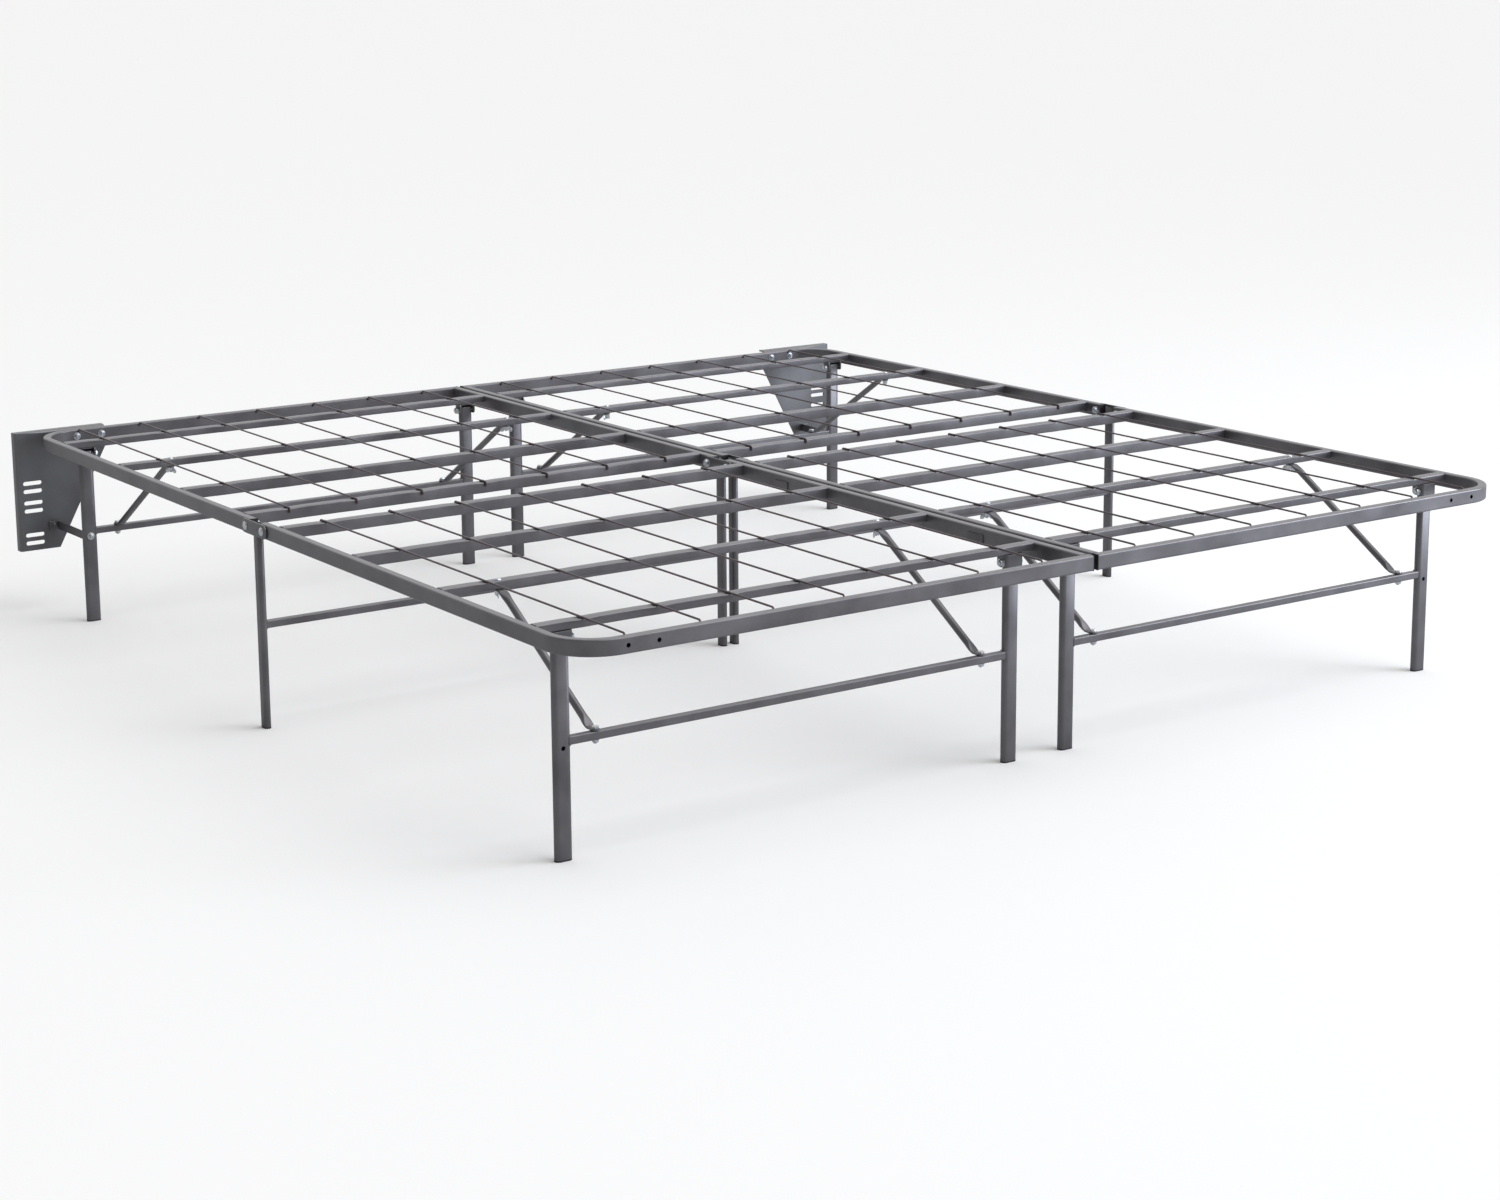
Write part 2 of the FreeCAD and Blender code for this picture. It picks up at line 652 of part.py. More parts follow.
def hinge_bolts(across):
    """Pivot bolts of the fold, through plate and rail. At the seam the heads are low."""
    pieces = []
    through = "plate_wall + rail_width + 2 * running_gap + big_nut_height + bolt_end"
    for side in (-1, 1):
        y = f"{side} * fold_pivot"
        outer = bolt("big_head_radius", "big_head_height", "big_bolt_radius", through, True)
        seat = f"{across} * ({OUTER_PLATE_INSIDE} + plate_wall)"
        pieces.append(put(outer, seat, y, RAIL_Z, POINTING["x"][across]))
        lock = nut("big_head_radius", "big_nut_height", "big_bolt_radius")
        seat = f"{across} * ({OUTER_FACE} - rail_width - running_gap)"
        pieces.append(put(lock, seat, y, RAIL_Z, POINTING["x"][-across]))
        inner = bolt("big_head_radius", "seam_head_height", "big_bolt_radius", through, True)
        seat = f"{across} * ({INNER_FACE} - running_gap)"
        pieces.append(put(inner, seat, y, RAIL_Z, POINTING["x"][-across]))
        lock = nut("big_head_radius", "big_nut_height", "big_bolt_radius")
        seat = f"{across} * ({INNER_PLATE_INSIDE} + plate_wall)"
        pieces.append(put(lock, seat, y, RAIL_Z, POINTING["x"][across]))
    return pieces


# Headboard brackets: a pan with slots, and a strut from the leg to the pan

def headboard_bracket(across):
    side = f"({across} * {BRACKET_SIDE})"
    inner = f"({across} * ({BRACKET_SIDE} - bracket_width))"
    foot = f"({across} * ({BRACKET_SIDE} - bracket_foot_width))"
    corners = [(side, "bracket_bottom"), (side, BRACKET_TOP), (inner, BRACKET_TOP),
               (inner, f"({BRACKET_TOP} - bracket_straight_edge)"), (foot, "bracket_bottom")]
    plate = polygon_pad("bracket_plate", "XZ_Plane", corners, "bracket_wall", True)
    put(plate, "0", f"{END_FACE} + bracket_wall / 2", "0")
    fold_y = f"{END_FACE} + bracket_fold / 2"
    tall = f"({BRACKET_TOP} - bracket_bottom)"
    flange = box(("bracket_wall", "bracket_fold", tall),
                 (f"{side} - {across} * bracket_wall / 2", fold_y, f"{BRACKET_TOP} - {tall} / 2"))
    lip = box(("bracket_width", "bracket_fold", "bracket_wall"),
              (f"({side} + {inner}) / 2", fold_y, f"{BRACKET_TOP} - bracket_wall / 2"))
    tools = [rod("mount_hole_radius", "4 * bracket_wall", (x, END_FACE, RAIL_Z), "y")
             for x in mount_hole_places(across)]
    tools.append(rod("mount_hole_radius", "4 * bracket_wall",
                     (strut_pan_x(across), END_FACE, "strut_hole_level"), "y"))
    slot_x = f"{across} * ({BRACKET_SIDE} - slot_from_side)"
    straight = "(slot_length - 2 * slot_radius)"
    for pair in ("slot_pair_high", "slot_pair_middle", "slot_pair_low"):
        for z in (pair, f"({pair} + slot_pair_pitch)"):
            tools.append(box((straight, "4 * bracket_wall", "2 * slot_radius"), (slot_x, END_FACE, z)))
            for end in (-1, 1):
                centre = (f"{slot_x} + {end} * {straight} / 2", END_FACE, z)
                tools.append(rod("slot_radius", "4 * bracket_wall", centre, "y"))
    return without(joined([plate, flange, lip]), tools)


def strut_leg_x(across):
    return f"({across} * ({HALF_CENTRE} + {LEG_SPREAD}))"


def strut_pan_x(across):
    return f"({across} * ({HALF_CENTRE} + {LEG_SPREAD} + strut_shift))"


def headboard_strut(across):
    """A flat strap with a tab on the back of the leg and a tab on the front of the pan."""
    leg_face = f"({LEG_BAR} + leg_depth / 2 + running_gap)"
    pan_face = END_FACE
    near = f"({strut_leg_x(across)} - {across} * strut_tab / 2)"
    bend = f"({strut_leg_x(across)} + {across} * strut_tab / 2)"
    turn = f"({strut_pan_x(across)} - {across} * strut_tab / 2)"
    far = f"({strut_pan_x(across)} + {across} * strut_tab / 2)"
    wall = f"{across} * strut_wall"
    corners = [(near, leg_face), (bend, leg_face), (f"({turn} + {wall})", f"({pan_face} - strut_wall)"),
               (far, f"({pan_face} - strut_wall)"), (far, pan_face), (turn, pan_face),
               (f"({bend} - {wall})", f"({leg_face} + strut_wall)"),
               (near, f"({leg_face} + strut_wall)")]
    strap = polygon_pad("strut_strap", "XY_Plane", corners, "strut_height", True)
    put(strap, "0", "0", "strut_hole_level")
    holes = [rod("small_bolt_radius + bolt_fit", "4 * strut_wall",
                 (strut_leg_x(across), leg_face, "strut_hole_level"), "y"),
             rod("small_bolt_radius + bolt_fit", "4 * strut_wall",
                 (strut_pan_x(across), pan_face, "strut_hole_level"), "y")]
    return without(strap, holes)


def bracket_bolts(across):
    """Bolts with nuts: two through rail and pan, one at each end of the strut."""
    pieces = []
    pan_back = f"({END_FACE} + bracket_wall)"
    for x in mount_hole_places(across):
        length = "bracket_wall + rail_width + small_nut_height + bolt_end"
        pieces.append(put(bolt("small_head_radius", "small_head_height", "small_bolt_radius",
                               length, True), x, pan_back, RAIL_Z, POINTING["y"][1]))
        pieces.append(put(nut("small_head_radius", "small_nut_height", "small_bolt_radius"),
                          x, END_INSIDE, RAIL_Z, POINTING["y"][-1]))
    leg_back = f"({LEG_BAR} + leg_depth / 2 + running_gap + strut_wall)"
    leg_front = f"({LEG_BAR} - leg_depth / 2 - running_gap)"
    length = "strut_wall + leg_depth + 2 * running_gap + small_nut_height + bolt_end"
    pieces.append(put(bolt("small_head_radius", "small_head_height", "small_bolt_radius", length,
                           True), strut_leg_x(across), leg_back, "strut_hole_level",
                      POINTING["y"][1]))
    pieces.append(put(nut("small_head_radius", "small_nut_height", "small_bolt_radius"),
                      strut_leg_x(across), leg_front, "strut_hole_level", POINTING["y"][-1]))
    length = "bracket_wall + strut_wall + small_nut_height + bolt_end"
    pieces.append(put(bolt("small_head_radius", "small_head_height", "small_bolt_radius", length,
                           True), strut_pan_x(across), pan_back, "strut_hole_level",
                      POINTING["y"][1]))
    pieces.append(put(nut("small_head_radius", "small_nut_height", "small_bolt_radius"),
                      strut_pan_x(across), f"({END_FACE} - strut_wall)", "strut_hole_level",
                      POINTING["y"][-1]))
    return pieces


# Deck sections

for half, across in HALVES.items():
    for end, along in ENDS.items():
        node(f"{end}_{half}_outer_rail", outer_rail(across, along))
        node(f"{end}_{half}_inner_rail", inner_rail(across, along))
        node(f"{end}_{half}_cross_bars", group(cross_bars(across, along)))

both = list(HALVES.values())
foot = ENDS["foot"]
head = ENDS["head"]
node("foot_wires", group([w for across in both for w in wires(across, foot)]))
node("foot_leg_saddles", group([s for across in both for s in leg_saddles(across, foot)]))
node("foot_rail_caps", group([c for across in both for c in rail_caps(across, foot)]))
node("foot_bolts", group([b for across in both for b in deck_bolts(across, foot)]))
node("foot_wing_nuts", group([w for across in both for w in wing_nuts(across, foot)]))
node("seam_clips", group(seam_clips()))

for half, across in HALVES.items():
    node(f"head_{half}_wires", group(wires(across, head)))
    node(f"head_{half}_leg_saddles", group(leg_saddles(across, head)))
    node(f"head_{half}_rail_caps", group(rail_caps(across, head)))
    node(f"head_{half}_bolts", group(deck_bolts(across, head) + bracket_bolts(across)))
    node(f"head_{half}_wing_nuts", group(wing_nuts(across, head)))
    node(f"{half}_headboard_bracket", headboard_bracket(across))
    node(f"{half}_headboard_strut", headboard_strut(across))

# Leg sets and braces

for half, across in HALVES.items():
    for end, along in ENDS.items():
        y = f"({along} * {LEG_BAR})"
        lines = [x for side, x in leg_places(across)]
        node(f"{end}_{half}_leg_frame", group(leg_frame(across, along)))
        node(f"{end}_{half}_leg_feet", group(foot_plugs(lines, y, leg_post)))
        node(f"{end}_{half}_swivel_bolts", group(swivel_bolts(across, along)))
        for side, x in brace_places(across):
            place = "outer" if side == across else "inner"
            open_side = side if along == foot else -side
            turn = UPRIGHT if along == foot else HALF_TURN
            piece = put(brace(along, open_side), x, y, CROSSBAR_TOP, turn)
            node(f"{end}_{half}_{place}_brace", piece)

for half, across in HALVES.items():
    node(f"middle_{half}_leg_frame", group(mid_leg_frame(across)))
    node(f"middle_{half}_leg_feet", group(foot_plugs(mid_leg_lines(across), "0", mid_leg_post)))
    node(f"{half}_hinge_plates", group(hinge_plates(across)))
    node(f"{half}_hinge_bolts", group(hinge_bolts(across)))

doc.recompute()

for piece in doc.Objects:
    states = [word for word in piece.State if word in ("Invalid", "Error")]
    if states:
        raise RuntimeError(f"{piece.Name} ({piece.Label}) is {states}")
for label, piece in nodes.items():
    if piece.Shape.isNull() or not piece.Shape.isValid() or not piece.Shape.Solids:
        raise RuntimeError(f"{label} has no valid solid")

os.makedirs("parts", exist_ok=True)
for label, piece in nodes.items():
    piece.Shape.exportStep(f"parts/{label}.step")
print(f"{len(nodes)} nodes, {sum(len(piece.Shape.Solids) for piece in nodes.values())} solids")
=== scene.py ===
import math
import bpy
import numpy as np
from mathutils import Euler, Matrix, Vector


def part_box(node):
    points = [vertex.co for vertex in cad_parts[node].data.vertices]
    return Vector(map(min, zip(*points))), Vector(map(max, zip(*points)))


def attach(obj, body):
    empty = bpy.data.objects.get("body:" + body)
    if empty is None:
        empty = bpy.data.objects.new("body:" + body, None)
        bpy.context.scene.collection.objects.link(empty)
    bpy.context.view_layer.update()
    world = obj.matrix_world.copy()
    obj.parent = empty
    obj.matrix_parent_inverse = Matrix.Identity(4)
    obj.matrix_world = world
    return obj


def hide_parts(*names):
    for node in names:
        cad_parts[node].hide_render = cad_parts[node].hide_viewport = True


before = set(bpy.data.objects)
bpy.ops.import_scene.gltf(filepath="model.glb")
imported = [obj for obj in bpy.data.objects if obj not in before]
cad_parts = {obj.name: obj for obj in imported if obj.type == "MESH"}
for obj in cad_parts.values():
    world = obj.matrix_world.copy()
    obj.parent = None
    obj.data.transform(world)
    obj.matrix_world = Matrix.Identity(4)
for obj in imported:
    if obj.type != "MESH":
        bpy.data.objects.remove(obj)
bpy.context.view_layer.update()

mm = 0.001
halves = {"left": -1, "right": 1}
ends = {"foot": -1, "head": 1}


def sRgb(code):
    # each channel: its curve undone, a straight line near black and a power of 2.4 above it
    channels = [int(code[i:i + 2], 16) / 255 for i in (1, 3, 5)]
    return [c / 12.92 if c <= 0.04045 else ((c + 0.055) / 1.055) ** 2.4 for c in channels] + [1.0]


def addNode(tree, kind, settings=None, inputs=None):
    # inputs: a socket's value, or another node's output to link from
    item = tree.nodes.new(kind)
    for key, value in (settings or {}).items():
        setattr(item, key, value)
    for key, value in (inputs or {}).items():
        if isinstance(value, bpy.types.NodeSocket):
            tree.links.new(value, item.inputs[key])
        else:
            item.inputs[key].default_value = value
    return item


def newMaterial(name):
    made = bpy.data.materials.new(name)
    made.use_nodes = True
    tree = made.node_tree
    tree.nodes.clear()
    shader = addNode(tree, "ShaderNodeBsdfPrincipled")
    addNode(tree, "ShaderNodeOutputMaterial", None, {"Surface": shader.outputs["BSDF"]})
    place = addNode(tree, "ShaderNodeTexCoord")
    return made, tree, shader, place.outputs["Object"]


def coatedSteel(name, look):
    # Polyester powder coat on steel tube: sprayed dry and baked, so it flows into a fine orange
    # peel. The eye sees a satin sheen that breaks up softly, and cloudy changes of tone.
    made, tree, shader, place = newMaterial(name)
    clouds = addNode(tree, "ShaderNodeTexNoise", None,
                     {"Vector": place, "Scale": 1 / (look["cloudSize"] * mm), "Detail": 3.0,
                      "Roughness": 0.55})
    grit = addNode(tree, "ShaderNodeTexNoise", None,
                   {"Vector": place, "Scale": 1 / (look["gritSize"] * mm), "Detail": 2.0, "Roughness": 0.7})
    blend = addNode(tree, "ShaderNodeMath", {"operation": "MULTIPLY_ADD"},
                    {0: grit.outputs["Fac"], 1: look["gritShare"], 2: clouds.outputs["Fac"]})
    colour = addNode(tree, "ShaderNodeValToRGB", None, {"Fac": blend.outputs[0]})
    colour.color_ramp.elements[0].position = 0.35
    colour.color_ramp.elements[0].color = sRgb(look["dark"])
    colour.color_ramp.elements[1].position = 1.0
    colour.color_ramp.elements[1].color = sRgb(look["light"])
    tree.links.new(colour.outputs["Color"], shader.inputs["Base Color"])
    rough = addNode(tree, "ShaderNodeMapRange", None,
                    {"Value": clouds.outputs["Fac"], "From Min": 0.3, "From Max": 0.7,
                     "To Min": look["roughness"] - 0.05, "To Max": look["roughness"] + 0.06})
    tree.links.new(rough.outputs["Result"], shader.inputs["Roughness"])
    peel = addNode(tree, "ShaderNodeTexNoise", None,
                   {"Vector": place, "Scale": 1 / (look["peelSize"] * mm), "Detail": 1.5})
    bump = addNode(tree, "ShaderNodeBump", None,
                   {"Height": peel.outputs["Fac"], "Strength": look["peelStrength"],
                    "Distance": look["peelDepth"] * mm})
    tree.links.new(bump.outputs["Normal"], shader.inputs["Normal"])
    shader.inputs["Metallic"].default_value = look["metallic"]
    return made


def platedZinc(name, look):
    # Zinc plate with a clear blue passivation: barrel-plated steel screws. The eye sees a bright
    # bluish white with thin scuffs and a trace of straw colour.
    made, tree, shader, place = newMaterial(name)
    tint = addNode(tree, "ShaderNodeTexNoise", None,
                   {"Vector": place, "Scale": 1 / (look["tintSize"] * mm), "Detail": 2.0})
    colour = addNode(tree, "ShaderNodeValToRGB", None, {"Fac": tint.outputs["Fac"]})
    colour.color_ramp.elements[0].position = 0.3
    colour.color_ramp.elements[0].color = sRgb(look["blue"])
    colour.color_ramp.elements[1].position = 0.72
    colour.color_ramp.elements[1].color = sRgb(look["straw"])
    tree.links.new(colour.outputs["Color"], shader.inputs["Base Color"])
    scuffs = addNode(tree, "ShaderNodeTexNoise", None,
                     {"Vector": place, "Scale": 1 / (look["scuffSize"] * mm), "Detail": 4.0,
                      "Roughness": 0.75, "Distortion": 1.5})
    rough = addNode(tree, "ShaderNodeMapRange", None,
                    {"Value": scuffs.outputs["Fac"], "From Min": 0.3, "From Max": 0.7,
                     "To Min": look["roughness"] - 0.08, "To Max": look["roughness"] + 0.14})
    tree.links.new(rough.outputs["Result"], shader.inputs["Roughness"])
    bump = addNode(tree, "ShaderNodeBump", None,
                   {"Height": scuffs.outputs["Fac"], "Strength": 0.25, "Distance": 0.03 * mm})
    tree.links.new(bump.outputs["Normal"], shader.inputs["Normal"])
    shader.inputs["Metallic"].default_value = 1.0
    return made


def mouldedPlastic(name, look):
    # Black polyethylene, moulded against a sparked tool: matt, with a fine even grain.
    made, tree, shader, place = newMaterial(name)
    grain = addNode(tree, "ShaderNodeTexVoronoi", None,
                    {"Vector": place, "Scale": 1 / (look["grainSize"] * mm)})
    scuffs = addNode(tree, "ShaderNodeTexNoise", None,
                     {"Vector": place, "Scale": 1 / (look["scuffSize"] * mm), "Detail": 4.0})
    colour = addNode(tree, "ShaderNodeValToRGB", None, {"Fac": scuffs.outputs["Fac"]})
    colour.color_ramp.elements[0].color = sRgb(look["dark"])
    colour.color_ramp.elements[1].color = sRgb(look["light"])
    tree.links.new(colour.outputs["Color"], shader.inputs["Base Color"])
    rough = addNode(tree, "ShaderNodeMapRange", None,
                    {"Value": scuffs.outputs["Fac"], "To Min": look["roughness"] - 0.1,
                     "To Max": look["roughness"] + 0.1})
    tree.links.new(rough.outputs["Result"], shader.inputs["Roughness"])
    bump = addNode(tree, "ShaderNodeBump", None,
                   {"Height": grain.outputs["Distance"], "Strength": 0.35, "Distance": 0.08 * mm})
    tree.links.new(bump.outputs["Normal"], shader.inputs["Normal"])
    shader.inputs["IOR"].default_value = 1.51
    return made


# grit is drawn at 1.2 mm, several times its real size, so that it shows
tubeLook = {"dark": "#5b595c", "light": "#7f7e82", "metallic": 0.6, "roughness": 0.36,
            "cloudSize": 90, "gritSize": 1.2, "gritShare": 0.35, "peelSize": 2.2,
            "peelDepth": 0.12, "peelStrength": 0.3}
sheetLook = dict(tubeLook, dark="#59585b", light="#797a7d", cloudSize=140)
wireLook = dict(tubeLook, dark="#423839", light="#675c5c", metallic=0.4, cloudSize=30)
# the welds get a near-black copy of the wire's coat; the darkness is partly the weld's own and partly
# painted shade where each wire crosses a bar or meets the rail
weldShadeLook = dict(wireLook, dark="#1e1a1b", light="#332c2d", roughness=0.55, cloudSize=6)
zincLook = {"blue": "#b9c6d6", "straw": "#dcdad2", "roughness": 0.26, "tintSize": 6, "scuffSize": 1.5}
plasticLook = {"dark": "#141415", "light": "#232325", "roughness": 0.55, "grainSize": 0.5, "scuffSize": 8}

tubeCoat = coatedSteel("satinPowderCoatOnTube", tubeLook)
sheetCoat = coatedSteel("satinPowderCoatOnSheet", sheetLook)
wireCoat = coatedSteel("satinPowderCoatOnWire", wireLook)
weldShadeCoat = coatedSteel("weldCoatDarkAsPaintedShade", weldShadeLook)
zinc = platedZinc("blueZincPlate", zincLook)
plastic = mouldedPlastic("blackMouldedPolyethylene", plasticLook)
print("materials made")


def gridFaces(rows, cols, closedRows=True):
    # quad (i, j): point j of ring i, and its neighbours on this ring and the next
    i = np.arange(rows if closedRows else rows - 1)[:, None]
    j = np.arange(cols)[None, :]
    down, side = (i + 1) % rows, (j + 1) % cols
    corners = (i * cols + j, i * cols + side, down * cols + side, down * cols + j)
    return np.stack([np.broadcast_to(c, (i.size, j.size)) for c in corners], -1).reshape(-1, 4)


def facingOut(points, faces):
    # the signed volume is a sixth of the sum of each triangle's triple product
    a, b, c, d = (points[faces[:, k]] for k in range(4))
    volume = np.einsum("ij,ij->i", a, np.cross(b, c)) + np.einsum("ij,ij->i", a, np.cross(c, d))
    return faces if volume.sum() > 0 else faces[:, ::-1]


def closedLoft(rings):
    # rings joined side by side, with a fan to its middle at each end
    rings = np.asarray(rings, float)
    rows, cols = rings.shape[:2]
    points = np.vstack([rings.reshape(-1, 3), rings[0].mean(0), rings[-1].mean(0)])
    j = np.arange(cols)
    side = (j + 1) % cols
    first, last = rows * cols, rows * cols + 1
    low = np.stack([np.full(cols, first), side, j, np.full(cols, first)], -1)
    top = (rows - 1) * cols
    high = np.stack([np.full(cols, last), top + j, top + side, np.full(cols, last)], -1)
    return points, facingOut(points, np.vstack([gridFaces(rows, cols, False), low, high]))


def hollowLoft(outer, inner):
    # outer rings run out and inner rings run back, so that the wall closes on itself
    rings = np.concatenate([outer, inner[::-1]])
    points = rings.reshape(-1, 3)
    return points, facingOut(points, gridFaces(rings.shape[0], rings.shape[1]))


def roundedOutline(width, height, radius, steps=5, support=0.25 * mm):
    # four quarter arcs; a support point just past each keeps the flats flat
    out = []
    turns = np.linspace(0, math.pi / 2, steps + 1)
    for k, (sx, sy) in enumerate(((1, 1), (-1, 1), (-1, -1), (1, -1))):
        angle = turns + k * math.pi / 2
        arc = np.stack([sx * (width / 2 - radius) + radius * np.cos(angle),
                        sy * (height / 2 - radius) + radius * np.sin(angle)], -1)
        before = np.array([math.sin(k * math.pi / 2), -math.cos(k * math.pi / 2)]) * support
        after = np.array([-math.cos(k * math.pi / 2), -math.sin(k * math.pi / 2)]) * support
        flat = width / 2 > radius + 2 * support and height / 2 > radius + 2 * support
        out.append(np.vstack([arc[:1] + before, arc, arc[-1:] + after]) if flat else arc)
    return np.vstack(out)


def circleOutline(radius, count):
    # radius times the cosine and sine of evenly spaced angles
    angle = np.arange(count) * 2 * math.pi / count
    return np.stack([radius * np.cos(angle), radius * np.sin(angle)], -1)


def carried(outline, places, across, upward):
    # point j of ring i: place i + across i times outline x + upward i times outline y
    outline, places = np.asarray(outline, float), np.asarray(places, float)
    across = np.broadcast_to(np.asarray(across, float), places.shape)
    upward = np.broadcast_to(np.asarray(upward, float), places.shape)
    x, y = outline[..., 0, None], outline[..., 1, None]
    if outline.ndim == 2:
        x, y = x[None], y[None]
    return places[:, None] + x * across[:, None] + y * upward[:, None]


def bentPath(corners, radius, steps=8):
    # straight runs joined by arcs that touch both runs at radius / tan(half the corner) away
    corners = [np.asarray(c, float) for c in corners]
    out = [corners[0]]
    for before, corner, after in zip(corners, corners[1:], corners[2:]):
        a = (before - corner) / np.linalg.norm(before - corner)
        b = (after - corner) / np.linalg.norm(after - corner)
        half = math.acos(np.clip(np.dot(a, b), -1, 1)) / 2
        middle = corner + (a + b) / np.linalg.norm(a + b) * radius / math.sin(half)
        start = corner + a * radius / math.tan(half)
        spokeA, spokeB = start - middle, corner + b * radius / math.tan(half) - middle
        sweep = math.acos(np.clip(np.dot(spokeA, spokeB) / radius ** 2, -1, 1))
        t = np.linspace(0, 1, steps + 1)[:, None]
        arc = np.sin((1 - t) * sweep) * spokeA + np.sin(t * sweep) * spokeB
        out.extend(middle + arc / math.sin(sweep))
    out.append(corners[-1])
    return np.array(out)


def alongPath(path):
    # direction at each point: the mean of the runs before and after it
    runs = np.diff(path, axis=0)
    runs /= np.linalg.norm(runs, axis=1)[:, None]
    ahead = np.vstack([runs[:1], (runs[:-1] + runs[1:]) / 2, runs[-1:]])
    return ahead / np.linalg.norm(ahead, axis=1)[:, None]


def spacedMarks(groups):
    # every mark along a path in order, without those closer than a tenth of a millimetre
    marks = np.sort(np.concatenate(groups))
    keep = np.concatenate([[True], np.diff(marks) > 0.1 * mm])
    return marks[keep]


def turned(profile, count=24):
    # a profile of (radius, height) pairs spun round the local Z
    angle = np.arange(count) * 2 * math.pi / count
    spin = np.stack([np.cos(angle), np.sin(angle)], -1)
    profile = np.asarray(profile, float)
    return np.concatenate([profile[:, None, :1] * spin[None],
                           np.broadcast_to(profile[:, None, 1:], (len(profile), count, 1))], -1)


def placed(part, place, axis=(0, 0, 1), spin=0.0):
    # local Z turned to the axis, after a spin about it, then moved
    points, faces = part
    turn = Vector((0, 0, 1)).rotation_difference(Vector(axis)).to_matrix()
    c, s = math.cos(spin), math.sin(spin)
    matrix = np.array(turn) @ np.array([[c, -s, 0], [s, c, 0], [0, 0, 1]])
    return points @ matrix.T + np.asarray(place, float), faces


def mirrored(part, across, along):
    points, faces = part
    points = points * np.array([across, along, 1.0])
    return points, faces if across * along > 0 else faces[:, ::-1]


def joinedParts(parts):
    starts = np.cumsum([0] + [len(p) for p, f in parts[:-1]])
    return np.vstack([p for p, f in parts]), np.vstack([f + s for (p, f), s in zip(parts, starts)])


def shadeSmooth(mesh, sharp):
    mesh.polygons.foreach_set("use_smooth", np.ones(len(mesh.polygons), bool))
    mesh.set_sharp_from_angle(angle=math.radians(sharp))


def makePiece(name, parts, material, sharp):
    points, faces = joinedParts(parts)
    flat = [[int(v) for v in (f[:3] if f[0] == f[3] else f)] for f in faces.tolist()]
    mesh = bpy.data.meshes.new(name)
    mesh.from_pydata(points.tolist(), [], flat)
    mesh.validate()
    shadeSmooth(mesh, sharp)
    mesh.materials.append(material)
    mesh.update()
    piece = bpy.data.objects.new(name, mesh)
    bpy.context.scene.collection.objects.link(piece)
    return piece


def cutAway(piece, cutters, sharp):
    # the cutters are taken from the piece, and the result becomes its mesh
    tool = makePiece(piece.name + "Cutter", cutters, piece.data.materials[0], sharp)
    cut = piece.modifiers.new("cut", "BOOLEAN")
    cut.object, cut.operation, cut.solver = tool, "DIFFERENCE", "EXACT"
    depsgraph = bpy.context.evaluated_depsgraph_get()
    result = bpy.data.meshes.new_from_object(piece.evaluated_get(depsgraph))
    piece.modifiers.clear()
    piece.data = result
    shadeSmooth(result, sharp)
    bpy.data.objects.remove(tool)


def rodPart(radius, start, finish, count=20):
    # a straight profile spun round the line from start to finish
    start, finish = np.asarray(start, float), np.asarray(finish, float)
    length = float(np.linalg.norm(finish - start))
    rod = closedLoft(turned([(radius, 0.0), (radius, length)], count))
    return placed(rod, start, (finish - start) / length)


def addPiece(name, node, body, parts, coat, cutters=(), sharp=35):
    # made, cut and put on the body it moves with, and the node it stands for hidden
    piece = makePiece(name, parts, coat, sharp)
    if cutters:
        cutAway(piece, cutters, sharp)
    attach(piece, body)
    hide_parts(node)


def sectionOf(end, half):
    return "root" if end == "foot" else f"head_{half}_section"


def addMirrored(name, node, body, parts, coat, cutters=(), sharp=35):
    # the parts are the right half's at the head end, and are mirrored to both halves, and to
    # both ends where the name holds one
    for half, across in halves.items():
        for end, along in (ends if "{end}" in name else {"head": 1}).items():
            words = {"end": end, "half": half, "side": half.title()}
            place = sectionOf(end, half) if body == "section" else body.format(**words)
            addPiece(name.format(**words), node.format(**words), place,
                     [mirrored(part, across, along) for part in parts], coat,
                     [mirrored(cutter, across, along) for cutter in cutters], sharp)


def addPerSection(kind, node, parts, coat, headOnly=()):
    # one piece for both halves of the foot section, and one for each head section
    for end, along in ends.items():
        own = list(parts) + list(headOnly if end == "head" else ())
        built = {half: [mirrored(part, across, along) for part in own] for half, across in halves.items()}
        if end == "foot":
            addPiece("foot" + kind, "foot_" + node, "root", built["left"] + built["right"], coat)
        else:
            for half in halves:
                addPiece(f"head{half.title()}{kind}", f"head_{half}_{node}", sectionOf(end, half),
                         built[half], coat)


railLow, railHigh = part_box("foot_right_outer_rail")
barLow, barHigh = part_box("foot_right_cross_bars")
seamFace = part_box("foot_right_inner_rail")[0].x
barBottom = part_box("foot_leg_saddles")[1].z
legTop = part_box("foot_right_leg_frame")[1].z
deckTop = railHigh.z
outerFace, seamStart, endFace, railStart = railHigh.x, railLow.x, -railLow.y, -railHigh.y
railMiddle = (deckTop + railLow.z) / 2
barTop, tallBarBottom = barHigh.z, barLow.z
halfCentre = (seamFace + outerFace) / 2

deck = {"railWide": 15 * mm, "railTall": 25 * mm, "wall": 1.5 * mm, "railRound": 2.6 * mm,
        "cornerRadius": 80 * mm, "bars": (70, 330, 608, 881), "tallBars": (70, 330),
        "wireRadius": 1.6 * mm, "wirePitch": 126.7 * mm, "wiresAcross": 7,
        "holeRadius": 3.5 * mm, "holeSides": 28, "holes": (860, 809), "foldPivot": 31 * mm}
wirePlaces = [halfCentre + (i - deck["wiresAcross"] // 2) * deck["wirePitch"]
              for i in range(deck["wiresAcross"])]
print("frame read")


def railTube(path):
    # rectangular tube: a rounded outline and a smaller one, both carried along the path
    wide, tall, wall, rounding = (deck[key] for key in ("railWide", "railTall", "wall", "railRound"))
    across = np.cross(alongPath(path), [0, 0, 1])
    outer = roundedOutline(wide, tall, rounding)
    inner = roundedOutline(wide - 2 * wall, tall - 2 * wall, rounding - wall * 0.6, support=0.1 * mm)
    return hollowLoft(*(carried(outline, path, across, [0, 0, 1]) for outline in (outer, inner)))


